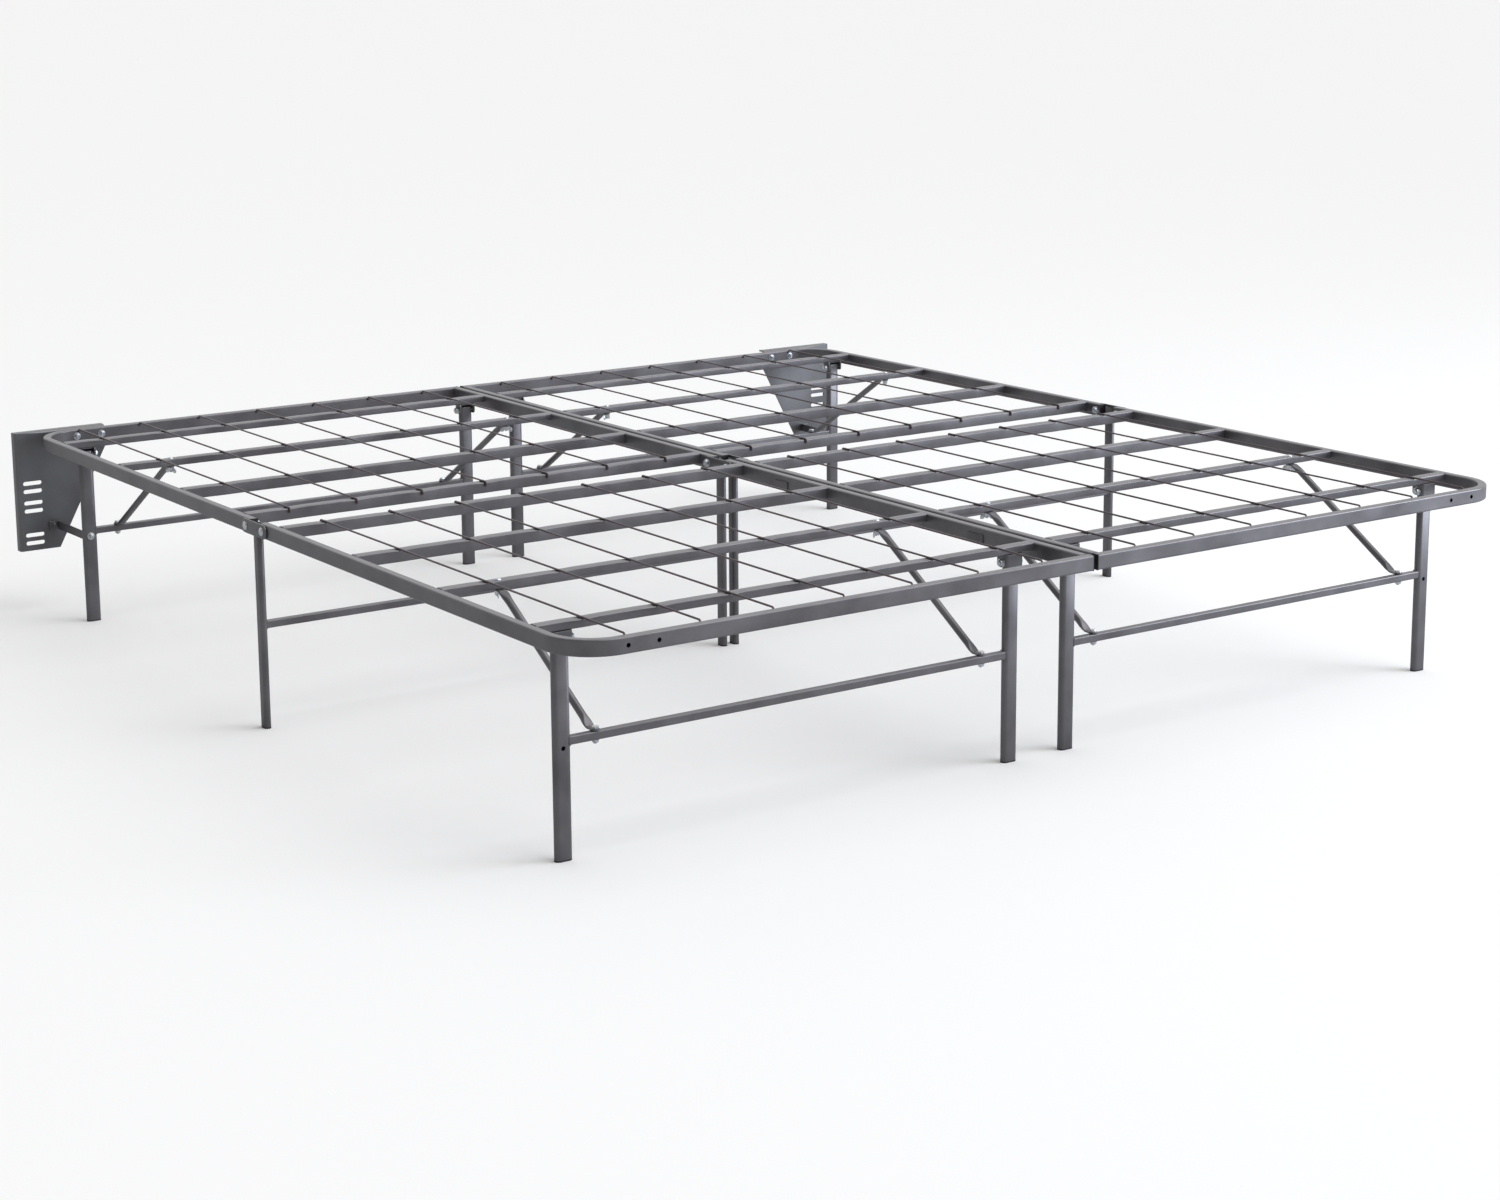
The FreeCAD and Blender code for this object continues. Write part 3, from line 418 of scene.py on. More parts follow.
railHalf = deck["railWide"] / 2
x, y = outerFace - railHalf, endFace - railHalf
path = bentPath([(x, railStart, railMiddle), (x, y, railMiddle), (seamStart, y, railMiddle)],
                deck["cornerRadius"] - railHalf, 22)
holes = [rodPart(deck["holeRadius"], (x * mm, endFace - 2 * deck["railWide"], railMiddle),
                 (x * mm, endFace + deck["railWide"], railMiddle), deck["holeSides"])
         for x in deck["holes"]]
addMirrored("{end}{side}OuterRail", "{end}_{half}_outer_rail", "section", [railTube(path)], tubeCoat,
            cutters=holes)
x = seamFace + railHalf
path = np.array([(x, railStart, railMiddle), (x, endFace - deck["railWide"], railMiddle)])
addMirrored("{end}{side}InnerRail", "{end}_{half}_inner_rail", "section", [railTube(path)], tubeCoat)
print("rails made")


barShape = {"deep": 18 * mm, "crown": 1.0 * mm, "dentHalf": 28 * mm, "bulge": 1.0 * mm, "round": 2.2 * mm,
            "wall": 1.5 * mm, "ramp": (-1, -0.72, -0.45, -0.2, 0, 0.2, 0.45, 0.72, 1)}


def crossBar(y, low):
    # the top stands a crown above the wires' seats and falls to them in straight ramps, and the
    # sides bulge by as much as the pressed metal moves
    start, finish = seamFace + deck["railWide"], outerFace - deck["railWide"]
    steps = np.array(barShape["ramp"]) * barShape["dentHalf"]
    places = np.unique(np.concatenate([[start, finish]] + [w + steps for w in wirePlaces]))
    places = places[(places >= start) & (places <= finish)]
    near = np.min(np.abs(places[:, None] - np.array(wirePlaces)[None]), axis=1)
    press = np.clip(1 - near / barShape["dentHalf"], 0, 1)
    # the outline is drawn small, and each quarter of it is moved out to the bar's size
    core = 1.0 * mm
    small = core + 2 * barShape["round"]
    outline = roundedOutline(small, small, barShape["round"], 6, 0.3 * mm)
    tall = barTop - low + barShape["crown"] * (1 - press)
    deep = barShape["deep"] + 2 * barShape["bulge"] * press
    side = np.sign(outline)
    grow = np.stack([(deep - core) / 2 - barShape["round"], (tall - core) / 2 - barShape["round"]], -1)
    outer = outline[None] + side[None] * grow[:, None]
    inner = outer - side[None] * barShape["wall"]
    centre = np.stack([places, np.full(len(places), y), low + tall / 2], -1)
    return hollowLoft(*(carried(rings, centre, [0, -1, 0], [0, 0, 1]) for rings in (outer, inner)))


bars = [crossBar(y * mm, tallBarBottom if y in deck["tallBars"] else barBottom) for y in deck["bars"]]
addMirrored("{end}{side}CrossBars", "{end}_{half}_cross_bars", "section", bars, tubeCoat)
print("cross bars made")


wireShape = {"bend": 3.3 * mm, "tailAtRail": 6.5 * mm, "tailAtFold": 8 * mm, "sides": 12}
# each size is half the mound's width, length and height
weldShape = {"onBar": (3.4 * mm, 5.2 * mm, 2.5 * mm), "aside": 1.2 * mm, "ahead": 2.5 * mm,
             "seat": 0.5 * mm, "onRail": (1.5 * mm, 1.2 * mm, 2.2 * mm), "railAside": 1.5 * mm,
             "railIn": 1.2 * mm, "railDown": 3.6 * mm}


def blob(size, count=10):
    # an ellipsoid: a half circle of radius and height, spun and stretched
    tilt = np.linspace(-math.pi / 2, math.pi / 2, 7)[1:-1]
    ball = turned(np.stack([np.cos(tilt), np.sin(tilt)], -1), count)
    return closedLoft(ball * np.asarray(size, float))


def deckWire(x):
    # a circle carried along the deck, with both ends bent down behind the rail and the last bar
    top = barTop + deck["wireRadius"]
    railEnd = endFace - deck["railWide"] - deck["wireRadius"]
    foldEnd = deck["bars"][0] * mm - barShape["deep"] / 2 - wireShape["bend"]
    path = bentPath([(x, foldEnd, top - wireShape["tailAtFold"]), (x, foldEnd, top), (x, railEnd, top),
                     (x, railEnd, top - wireShape["tailAtRail"])], wireShape["bend"], 6)
    upward = np.cross([1, 0, 0], alongPath(path))
    outline = circleOutline(deck["wireRadius"], wireShape["sides"])
    return closedLoft(carried(outline, path, [1, 0, 0], upward))


def weldSpots(x):
    # a mound on each side of the wire, on every bar and where it meets the rail
    w = weldShape
    spots = [placed(blob(w["onBar"]), (x + side * w["aside"], y * mm + w["ahead"], barTop + w["seat"]))
             for y in deck["bars"] for side in (-1, 1)]
    railY, railZ = endFace - deck["railWide"] - w["railIn"], deckTop - w["railDown"]
    return spots + [placed(blob(w["onRail"]), (x + side * w["railAside"], railY, railZ))
                    for side in (-1, 1)]


addPerSection("Wires", "wires", [deckWire(x) for x in wirePlaces], wireCoat)
# the weld mounds carry the near-black coat: partly the weld's own colour, partly painted shade at each
# crossing
addPerSection("Welds", "wires", [spot for x in wirePlaces for spot in weldSpots(x)], weldShadeCoat)
print("wires made")


# the corner legs' frame, and the middle legs' where they differ
legShape = {"inner": 60, "outer": 892, "line": 881, "wide": 28 * mm, "deep": 14 * mm, "top": legTop,
            "wall": 1.2 * mm, "mouth": 0.5 * mm, "foot": 2 * mm, "pivot": barBottom - 13 * mm,
            "barLevel": 178 * mm, "barSize": 12.7 * mm, "barRound": 1.9 * mm, "barInto": 0.4 * mm,
            "weld": 1.5 * mm, "weldOut": 0.9 * mm, "weldSides": 8, "weldLump": 0.16, "weldBeat": 2.1,
            "strutHole": 169 * mm, "drillReach": 20 * mm}
midShape = {"inner": 13.3, "outer": 942.3, "line": 0, "wide": 12 * mm, "deep": 22 * mm, "top": 352 * mm}


def ovalOutline(wide, deep, steps=12):
    # a flat oval: two half circles on the narrow sides, joined by flats
    angle = np.linspace(-math.pi / 2, math.pi / 2, steps + 1)
    if wide >= deep:
        radius, reach = deep / 2, (wide - deep) / 2
        right = np.stack([reach + radius * np.cos(angle), radius * np.sin(angle)], -1)
        return np.vstack([right, -right])
    return ovalOutline(deep, wide, steps)[:, ::-1] * [1, -1]


def uprightTube(shape, x):
    # drawn in slightly at both mouths, where the saw's edge was broken
    wide, deep, y = shape["wide"], shape["deep"], shape["line"] * mm
    low, high, wall, soft = legShape["foot"], shape["top"], legShape["wall"], legShape["mouth"]
    heights = np.array([low, low + soft, high - soft, high])
    shrink = np.array([soft * 0.5, 0, 0, soft * 0.5])
    outer, inner = (np.stack([carried(ovalOutline(wide - 2 * inset, deep - 2 * inset), [(x, y, z)],
                                      [1, 0, 0], [0, 1, 0])[0] for inset, z in zip(insets, heights)])
                    for insets in (shrink, np.full_like(heights, wall)))
    return hollowLoft(outer, inner)


def sideReach(wide, deep, y):
    # how far the oval's side stands from its middle at depth y
    radius = min(wide, deep) / 2
    if wide >= deep:
        return (wide - deep) / 2 + np.sqrt(np.maximum(radius ** 2 - y ** 2, 0))
    over = np.maximum(np.abs(y) - (deep - wide) / 2, 0)
    return np.sqrt(np.maximum(radius ** 2 - over ** 2, 0))


def bandBar(shape):
    # a square tube whose ends follow the legs' sides, with a bead of weld round each end
    s, y = legShape, shape["line"] * mm
    outline = roundedOutline(s["barSize"], s["barSize"], s["barRound"])
    reach = sideReach(shape["wide"], shape["deep"], outline[:, 0]) - s["barInto"]
    rings = np.stack([np.stack([line, y + outline[:, 0], s["barLevel"] + outline[:, 1]], -1)
                      for line in (shape["inner"] * mm + reach, shape["outer"] * mm - reach)])
    parts = [closedLoft(rings)]
    for ring, way in zip(rings, (1, -1)):
        path = ring + np.array([way * s["weldOut"], 0, 0])
        outward = (path - np.array([0, y, s["barLevel"]])) * np.array([0, 1, 1])
        outward /= np.linalg.norm(outward, axis=1)[:, None]
        lumps = s["weld"] * (1 + s["weldLump"] * np.sin(np.arange(len(path)) * s["weldBeat"]))
        bead = carried(circleOutline(1.0, s["weldSides"])[None] * lumps[:, None, None], path,
                       np.tile([1.0, 0, 0], (len(path), 1)), outward)
        points = bead.reshape(-1, 3)
        parts.append((points, facingOut(points, gridFaces(len(path), s["weldSides"]))))
    return parts


def legTubes(shape):
    return [uprightTube(shape, x * mm) for x in (shape["inner"], shape["outer"])]


x, y, z = legShape["outer"] * mm, legShape["line"] * mm, legShape["strutHole"]
hole = [rodPart(deck["holeRadius"], (x, y - legShape["drillReach"], z), (x, y + legShape["drillReach"], z),
                deck["holeSides"])]
addMirrored("{end}{side}Legs", "{end}_{half}_leg_frame", "{end}_{half}_legs", legTubes(legShape), tubeCoat,
            cutters=hole)
addMirrored("{end}{side}LegBar", "{end}_{half}_leg_frame", "{end}_{half}_legs", bandBar(legShape), tubeCoat)
addMirrored("middle{side}LegFrame", "middle_{half}_leg_frame", "middle_{half}_legs",
            legTubes(midShape) + bandBar(midShape), tubeCoat)
print("legs made")


crossbarTop = legShape["barLevel"] + legShape["barSize"] / 2
braceShape = {"low": 1.8 * mm, "high": barBottom - crossbarTop - 1.8 * mm, "run": 273 * mm,
              "eyeWide": 14 * mm, "thick": 3 * mm, "flat": 14 * mm, "taper": 24 * mm,
              "spread": 2.2 * mm, "tube": 12 * mm, "bend": 7 * mm, "outer": 834, "inner": 118,
              "sides": 28, "slot": 3.4 * mm, "mouth": 12 * mm, "eyeBore": 3.1 * mm}
studLine = legShape["line"] * mm - braceShape["run"]


def bracePart(x):
    # width and thickness change along the tube; the section is a superellipse whose power
    # falls from a flat strap's 5 to a circle's 2
    s = braceShape
    tip = s["eyeWide"] / 2
    path = bentPath([(0, -tip, s["low"]), (0, s["flat"], s["low"]), (0, s["run"] - s["flat"], s["high"]),
                     (0, s["run"] + tip, s["high"])], s["bend"], 6)
    length = np.concatenate([[0], np.cumsum(np.linalg.norm(np.diff(path, axis=0), axis=1))])
    rounds = tip * (1 - np.cos(np.linspace(0.12, math.pi / 2, 8)))
    tapers = tip + s["flat"] + np.linspace(0, s["taper"], 9)
    marks = spacedMarks([rounds, tapers, length[1:-1], length[-1] - rounds, length[-1] - tapers])
    places = np.stack([np.interp(marks, length, path[:, k]) for k in range(3)], -1)
    fromEnd = np.minimum(marks, length[-1] - marks)
    t = np.clip((fromEnd - tip - s["flat"]) / s["taper"], 0, 1)
    ease = t * t * (3 - 2 * t)
    wide = s["eyeWide"] + (s["tube"] - s["eyeWide"]) * ease + s["spread"] * np.sin(math.pi * t) * (1 - ease)
    wide = np.where(fromEnd < tip, 2 * np.sqrt(np.maximum(tip ** 2 - (tip - fromEnd) ** 2, 0)), wide)
    thick = s["thick"] + (s["tube"] - s["thick"]) * ease
    power = 5 - 3 * ease
    angle = np.arange(s["sides"]) * 2 * math.pi / s["sides"]
    c, d = np.cos(angle)[None], np.sin(angle)[None]
    outline = np.stack([wide[:, None] / 2 * np.sign(c) * np.abs(c) ** (2 / power[:, None]),
                        thick[:, None] / 2 * np.sign(d) * np.abs(d) ** (2 / power[:, None])], -1)
    ahead = alongPath(places)
    rings = carried(outline, places, [1, 0, 0], np.cross([1, 0, 0], ahead))
    points, faces = closedLoft(rings)
    points = points * [1, -1, 1] + [x, legShape["line"] * mm, crossbarTop]
    return points, faces[:, ::-1]


for place, away in (("outer", 1), ("inner", -1)):
    x, s = braceShape[place] * mm, braceShape
    level = crossbarTop + s["high"]
    # the mouth is open to one side and ends in a half circle round the stud
    turn = np.linspace(-math.pi / 2, math.pi / 2, 13)
    mouth = np.vstack([np.stack([-np.cos(turn), np.sin(turn)], -1) * s["slot"],
                       [(s["mouth"], s["slot"]), (s["mouth"], -s["slot"])]])
    mouth = carried(mouth * [away, 1], [(x, studLine, level - 6 * mm), (x, studLine, level + 6 * mm)],
                    [1, 0, 0], [0, 1, 0])
    eye = rodPart(s["eyeBore"], (x, legShape["line"] * mm, crossbarTop - 5 * mm),
                  (x, legShape["line"] * mm, crossbarTop + 9 * mm))
    node = "{end}_{half}_" + place + "_brace"
    addMirrored("{end}{side}" + place.title() + "Brace", node, node, [bracePart(x)], tubeCoat,
                cutters=[eye, closedLoft(mouth)], sharp=50)
print("braces made")


saddleShape = {"wide": 34 * mm, "deep": 24 * mm, "wall": 2.5 * mm, "low": barBottom - 20 * mm,
               "bend": 3 * mm, "earRound": 5 * mm, "plateRound": 1.5 * mm, "clear": 0.05 * mm}
clipShape = {"wide": 42 * mm, "wall": 2 * mm, "low": 328.6 * mm, "high": 345.6 * mm, "long": 40 * mm,
             "bend": 2.4 * mm, "tipRound": 3 * mm, "places": (-200, -744.5)}
plateShape = {"reach": 47.5 * mm, "tall": 24 * mm, "wall": 3 * mm, "gap": 0.3 * mm, "edge": 0.6 * mm}


def foldedStrip(corners, bend, wall, deep, tipRound):
    # a strip carried along a bent path in the XZ plane; its ends are rounded off like a coin
    path = bentPath(corners, bend, 6)
    length = np.concatenate([[0], np.cumsum(np.linalg.norm(np.diff(path, axis=0), axis=1))])
    tips = tipRound * (1 - np.cos(np.linspace(0, math.pi / 2, 7)))
    marks = spacedMarks([tips, length[1:-1], length[-1] - tips])
    places = np.stack([np.interp(marks, length, path[:, k]) for k in range(3)], -1)
    fromEnd = np.minimum(marks, length[-1] - marks)
    cut = tipRound - np.sqrt(np.maximum(tipRound ** 2 - np.maximum(tipRound - fromEnd, 0) ** 2, 0))
    outline = roundedOutline(wall, 1.0, 0.5 * mm, 3, 0.2 * mm)
    rings = np.repeat(outline[None], len(places), 0)
    # the outline is drawn 1 across, and its two edges are moved out to the strip's
    half = np.abs(outline[None, :, 1]) - 0.5 + deep / 2 - cut[:, None]
    rings[..., 1] = np.sign(outline[None, :, 1]) * half
    return closedLoft(carried(rings, places, np.cross(alongPath(places), [0, 1, 0]), [0, 1, 0]))


def slab(low, high, rounding):
    # a flat plate with its upright edges rounded off
    low, high = np.array(low, float), np.array(high, float)
    outline = roundedOutline(high[0] - low[0], high[1] - low[1], rounding, 4)
    middle = (low + high) / 2
    soft = 0.3 * mm
    levels = [(low[2], soft), (low[2] + soft, 0), (high[2] - soft, 0), (high[2], soft)]
    rings = [carried(outline - np.sign(outline) * shrink, [(middle[0], middle[1], z)],
                     [1, 0, 0], [0, 1, 0])[0] for z, shrink in levels]
    return closedLoft(np.stack(rings))


def legSaddle(x):
    # one sheet folded round the leg, ear to end wall to ear, under a plate welded to the bar
    s = saddleShape
    side, deep = (s["wide"] - s["wall"]) / 2, s["deep"] / 2
    tall = barBottom - s["low"]
    back = deep - s["wall"] / 2
    points, faces = foldedStrip([(-side, 0, -deep), (-side, 0, back), (side, 0, back), (side, 0, -deep)],
                                s["bend"], s["wall"], tall, s["earRound"])
    wrap = points[:, [0, 2, 1]] + [0, 0, s["low"] + tall / 2], faces[:, ::-1]
    plate = slab((-side, -deep + s["earRound"], barBottom - s["wall"]),
                 (side, back, barBottom - s["clear"]), s["plateRound"])
    return placed(joinedParts([wrap, plate]), (x * mm, legShape["line"] * mm, 0))


addPerSection("LegSaddles", "leg_saddles", [legSaddle(x) for x in (legShape["inner"], legShape["outer"])],
              sheetCoat)

side = (clipShape["wide"] - clipShape["wall"]) / 2
low, high = clipShape["low"] + clipShape["wall"] / 2, clipShape["high"]
clip = foldedStrip([(-side, 0, high), (-side, 0, low), (side, 0, low), (side, 0, high)], clipShape["bend"],
                   clipShape["wall"], clipShape["long"], clipShape["tipRound"])
addPiece("seamClips", "seam_clips", "root", [placed(clip, (0, y * mm, 0)) for y in clipShape["places"]],
         sheetCoat)


def hingePlate(x):
    # a flat oval drawn in by the edge's rounding at both faces
    e, w = plateShape["edge"], plateShape["wall"]
    insets = [(e, 0), (e * 0.3, e * 0.3), (0, e), (0, w - e), (e * 0.3, w - e * 0.3), (e, w)]
    rings = [carried(ovalOutline(2 * (plateShape["reach"] - inset), plateShape["tall"] - 2 * inset),
                     [(x + depth, 0, railMiddle)], [0, 1, 0], [0, 0, 1])[0] for inset, depth in insets]
    return closedLoft(np.stack(rings))


addMirrored("{half}HingePlates", "{half}_hinge_plates", "middle_{half}_legs",
            [hingePlate(x + plateShape["gap"]) for x in (seamFace + deck["railWide"], outerFace)],
            sheetCoat)
print("folded parts made")


bigBolt = {"head": 7.4 * mm, "headTall": 3.4 * mm, "lowHead": 2.6 * mm, "shank": 4 * mm,
           "nutTall": 6.4 * mm}
smallBolt = {"head": 5.8 * mm, "headTall": 3.2 * mm, "shank": 3 * mm, "nutTall": 5 * mm}
# wing: half its width, thickness and height, then its place out from the bolt and up, and its lean
wingShape = {"size": (4.6 * mm, 1.25 * mm, 5.4 * mm), "out": 7.4 * mm, "up": 5.6 * mm, "lean": 0.28,
             "collar": ((5.8 * mm, 0), (5.6 * mm, 1.2 * mm), (4.7 * mm, 6 * mm), (4.4 * mm, 7 * mm))}
threadPitch = 1.25 * mm


def shankRows(radius, length):
    # the thread is drawn as rings: the radius swings by a fifth of the pitch
    z = np.arange(0, min(length - 0.6 * mm, 16 * mm), threadPitch / 4)[::-1]
    r = radius - 0.1 * threadPitch * (1 - np.cos(2 * math.pi * z / threadPitch))
    rows = np.stack([r, z - length + 0.6 * mm], -1)
    return np.vstack([[(radius, -0.02 * mm)], rows, [(radius * 0.8, -length), (radius * 0.2, -length)]])


def domedBolt(size, tall, length):
    # dome: radius R sin t, height h cos t, over a short straight rim
    t = np.linspace(0.08, math.pi / 2, 9)
    rim = 0.5 * mm
    dome = np.stack([size["head"] * np.sin(t), rim + (tall - rim) * np.cos(t)], -1)
    return closedLoft(turned(np.vstack([dome, [(size["head"], 0), (size["shank"] * 1.05, 0)],
                                        shankRows(size["shank"], length)])))


def hexRing(radius, limit, z, count=48):
    # a hexagon's radius is its flat's distance over the cosine of the angle from the flat's
    # middle, and the chamfer cone limits it
    angle = np.arange(count) * 2 * math.pi / count
    offset = (angle + math.pi / 6) % (math.pi / 3) - math.pi / 6
    r = np.minimum(radius * math.cos(math.pi / 6) / np.cos(offset), limit)
    return np.stack([r * np.cos(angle), r * np.sin(angle), np.full(count, z)], -1)


def hexBolt(size, tall, length):
    # rings of a hexagon, drawn in at the chamfer and under the head, and then the shank's rows
    radius = size["head"]
    rings = [hexRing(radius, radius * share, z) for share, z in
             ((0.35, tall * 0.9), (0.84, tall), (1, tall * 0.84), (1, 0.3 * mm), (0.93, 0))]
    rows = turned(np.vstack([[(size["shank"] * 1.05, 0)], shankRows(size["shank"], length)]), 48)
    return closedLoft(np.concatenate([np.stack(rings), rows]))


def lockNut(size, tall, flange=1.04):
    # flange, hexagon and a rolled collar that holds the nylon ring
    # each ring: hexagon, limit and height, where a hexagon of 2 leaves a plain circle
    radius, bore = size["head"], size["shank"] * 1.02 / size["head"]
    rings = [hexRing(radius * hexagon, radius * limit, z) for hexagon, limit, z in
             ((1, bore, 0), (2, flange, 0), (2, flange, 0.7 * mm), (0.98, 0.98, 0.9 * mm),
              (0.98, 0.98, tall * 0.68), (0.98, 0.84, tall * 0.78), (2, 0.78, tall * 0.8),
              (2, 0.76, tall * 0.94), (2, 0.68, tall), (2, 0.62, tall * 0.97), (2, 0.6, tall * 0.86),
              (1, bore, tall * 0.86))]
    points = np.concatenate(rings)
    return points, facingOut(points, gridFaces(len(rings), 48))


def wingNut(size):
    # a tapered collar, and two wings whose outline is a leaning ellipse
    w, bore = wingShape, size["shank"] * 1.02
    collar = [(bore, 0), *w["collar"], (bore, w["collar"][-1][1])]
    points = turned(collar, 28).reshape(-1, 3)
    parts = [(points, facingOut(points, gridFaces(len(collar), 28)))]
    for way in (-1, 1):
        wing, faces = blob(w["size"], 20)
        wing = wing + [way * w["out"], 0, w["up"]]
        wing[:, 0] += way * w["lean"] * (wing[:, 2] - w["up"])
        parts.append((wing, faces))
    return joinedParts(parts)


# each bolt's length under its head, and how far its head or nut sits from what it goes through
fixing = {"pivotReach": 17 * mm, "pivotPast": 1.5 * mm, "stud": 25.1 * mm, "bracket": 24.5 * mm,
          "sheet": 3 * mm, "leg": 24.1 * mm, "legHead": 10.3 * mm, "legNut": 7.3 * mm,
          "strut": 12.5 * mm, "strutX": 912 * mm, "swivel": 22.8 * mm, "swivelHead": 3.6 * mm,
          "wingNut": 3.6 * mm, "hingePast": 2.1 * mm}


def boltAndNut(bolt, head, nut, axis, flange=1.04, spin=0.0, size=smallBolt):
    # a nut faces the other way from its bolt's head
    return [placed(bolt, head, axis),
            placed(lockNut(size, size["nutTall"], flange), nut, [-a for a in axis], spin)]


def legPivots():
    parts = []
    long = 2 * fixing["pivotReach"] + bigBolt["nutTall"] + fixing["pivotPast"]
    bolt, nut = hexBolt(bigBolt, bigBolt["headTall"], long), lockNut(bigBolt, bigBolt["nutTall"])
    for x, way in ((legShape["outer"], 1), (legShape["inner"], -1)):
        place = np.array([x * mm, legShape["line"] * mm, legShape["pivot"]])
        aside = [way * fixing["pivotReach"], 0, 0]
        parts += [placed(bolt, place + aside, (way, 0, 0), 0.3),
                  placed(nut, place - aside, (-way, 0, 0), 0.7)]
    return parts


def braceStuds():
    return [placed(domedBolt(smallBolt, smallBolt["headTall"], fixing["stud"]), (x * mm, studLine, barTop))
            for x in (braceShape["outer"], braceShape["inner"])]


def wingNuts():
    return [placed(wingNut(smallBolt), (x * mm, studLine, barBottom - fixing["wingNut"]), (0, 0, -1), spin)
            for x, spin in ((braceShape["outer"], 0.5), (braceShape["inner"], 1.1))]


def bracketBolts():
    parts = []
    bolt = domedBolt(smallBolt, smallBolt["headTall"], fixing["bracket"])
    for x in deck["holes"]:
        parts += boltAndNut(bolt, (x * mm, endFace + fixing["sheet"], railMiddle),
                            (x * mm, endFace - deck["railWide"], railMiddle), (0, 1, 0), 1.25, x)
    x, y, z = legShape["outer"] * mm, legShape["line"] * mm, legShape["strutHole"]
    bolt = domedBolt(smallBolt, smallBolt["headTall"], fixing["leg"])
    return parts + boltAndNut(bolt, (x, y + fixing["legHead"], z), (x, y - fixing["legNut"], z), (0, 1, 0),
                              1.25, 0.4)


def strutBolt():
    # the bolt that holds the strut to the sheet was painted with them
    x, z = fixing["strutX"], legShape["strutHole"]
    bolt = domedBolt(smallBolt, smallBolt["headTall"], fixing["strut"])
    return boltAndNut(bolt, (x, endFace + fixing["sheet"], z), (x, endFace - fixing["sheet"], z), (0, 1, 0),
                      spin=0.9)


def swivelBolts():
    bolt = hexBolt(smallBolt, smallBolt["headTall"], fixing["swivel"])
    nut = lockNut(smallBolt, smallBolt["nutTall"])
    parts = []
    for x in (braceShape["outer"], braceShape["inner"]):
        place = np.array([x * mm, legShape["line"] * mm, crossbarTop])
        parts.append(placed(bolt, place + [0, 0, fixing["swivelHead"]], (0, 0, 1), 0.4))
        parts.append(placed(nut, place - [0, 0, legShape["barSize"]], (0, 0, -1)))
    return parts


def hingeBolts():
    # one through each plate and rail, with its nut against the rail's other side
    through = plateShape["wall"] + deck["railWide"] + bigBolt["nutTall"] + fixing["hingePast"]
    gap, wall = plateShape["gap"], plateShape["wall"]
    high, low = (domedBolt(bigBolt, bigBolt[key], through) for key in ("headTall", "lowHead"))
    parts = []
    for way in (-1, 1):
        y = way * deck["foldPivot"]
        parts += boltAndNut(high, (outerFace + gap + wall, y, railMiddle),
                            (outerFace - deck["railWide"] - gap, y, railMiddle), (1, 0, 0), spin=way,
                            size=bigBolt)
        parts += boltAndNut(low, (seamFace - gap, y, railMiddle),
                            (seamFace + deck["railWide"] + gap + wall, y, railMiddle), (-1, 0, 0), spin=0.5,
                            size=bigBolt)
    return parts


addPerSection("Bolts", "bolts", legPivots() + braceStuds(), zinc, bracketBolts())
addPerSection("WingNuts", "wing_nuts", wingNuts(), zinc)
addMirrored("head{side}StrutBolt", "head_{half}_bolts", "section", strutBolt(), sheetCoat)
addMirrored("{end}{side}SwivelBolts", "{end}_{half}_swivel_bolts", "{end}_{half}_legs", swivelBolts(), zinc)
addMirrored("{half}HingeBolts", "{half}_hinge_bolts", "middle_{half}_legs", hingeBolts(), zinc)
print("fasteners made")


panShape = {"side": 981, "inner": 797, "foot": 900, "low": 123, "edge": 315, "wall": 3 * mm, "lip": 18 * mm,
            "above": 358, "bend": 3.6 * mm, "edgeRound": 0.35 * mm, "slots": (241, 257, 202, 218, 138, 154),
            "slotLine": 950, "slotLong": 38 * mm, "slotRadius": 4 * mm,
            "sideFrom": 975}  # from here outwards the sheet's top stands at its full height
strutShape = {"wall": 3 * mm, "tall": 16 * mm, "bend": 4 * mm, "edgeRound": 0.6 * mm, "offLeg": 8.8 * mm,
              "legFlat": (883 * mm, 900.5 * mm), "sheetFlat": (903.5 * mm, 921 * mm)}


def bracketPan():
    # the sheet's height follows the slanted lower edge, and the sheet turns back at the side
    s = panShape
    middle = endFace + s["wall"] / 2
    path = bentPath([(s["inner"] * mm, middle, 0), (s["side"] * mm - s["wall"] / 2, middle, 0),
                     (s["side"] * mm - s["wall"] / 2, endFace + s["lip"], 0)], s["bend"], 7)
    slant = np.linspace(s["inner"], s["foot"], 9) * mm
    xs = np.concatenate([[s["inner"] * mm], slant[1:], path[1:, 0]])
    places = np.vstack([[(x, middle, 0) for x in slant], path[1:]])
    low = np.interp(xs, [s["inner"] * mm, s["foot"] * mm], [s["edge"] * mm, s["low"] * mm])
    high = s["above"] * mm - s["bend"] - s["wall"] / 2
    high = np.where(places[:, 0] > s["sideFrom"] * mm, s["above"] * mm, high)
    outline = roundedOutline(s["wall"], 1.0, s["edgeRound"], 3, 0.2 * mm)
    rings = np.repeat(outline[None], len(places), 0)
    # the outline is drawn 1 tall, and its two ends are moved to the sheet's edges
    tall = outline[None, :, 1]
    rings[..., 1] = np.where(tall > 0, tall - 0.5 + high[:, None], tall + 0.5 + low[:, None])
    across = np.cross(alongPath(places), [0, 0, 1])
    return closedLoft(carried(rings, places, across, [0, 0, 1]))


def bracketLip():
    # the top edge turned back; the bend is a hair tighter than the run before it, which a bend
    # of the full size would use up
    s = panShape
    top = s["above"] * mm - s["wall"] / 2
    middle = endFace + s["wall"] / 2
    path = bentPath([(0, middle, top - s["bend"]), (0, middle, top), (0, endFace + s["lip"], top)],
                    s["bend"] - 0.01 * mm, 7)
    wide = (s["side"] - s["inner"]) * mm - s["wall"]
    outline = roundedOutline(wide, s["wall"], s["edgeRound"], 3, 0.2 * mm)
    shift = np.array([s["inner"] * mm + wide / 2, 0, 0])
    return closedLoft(carried(outline, path + shift, [1, 0, 0], np.cross([1, 0, 0], alongPath(path))))


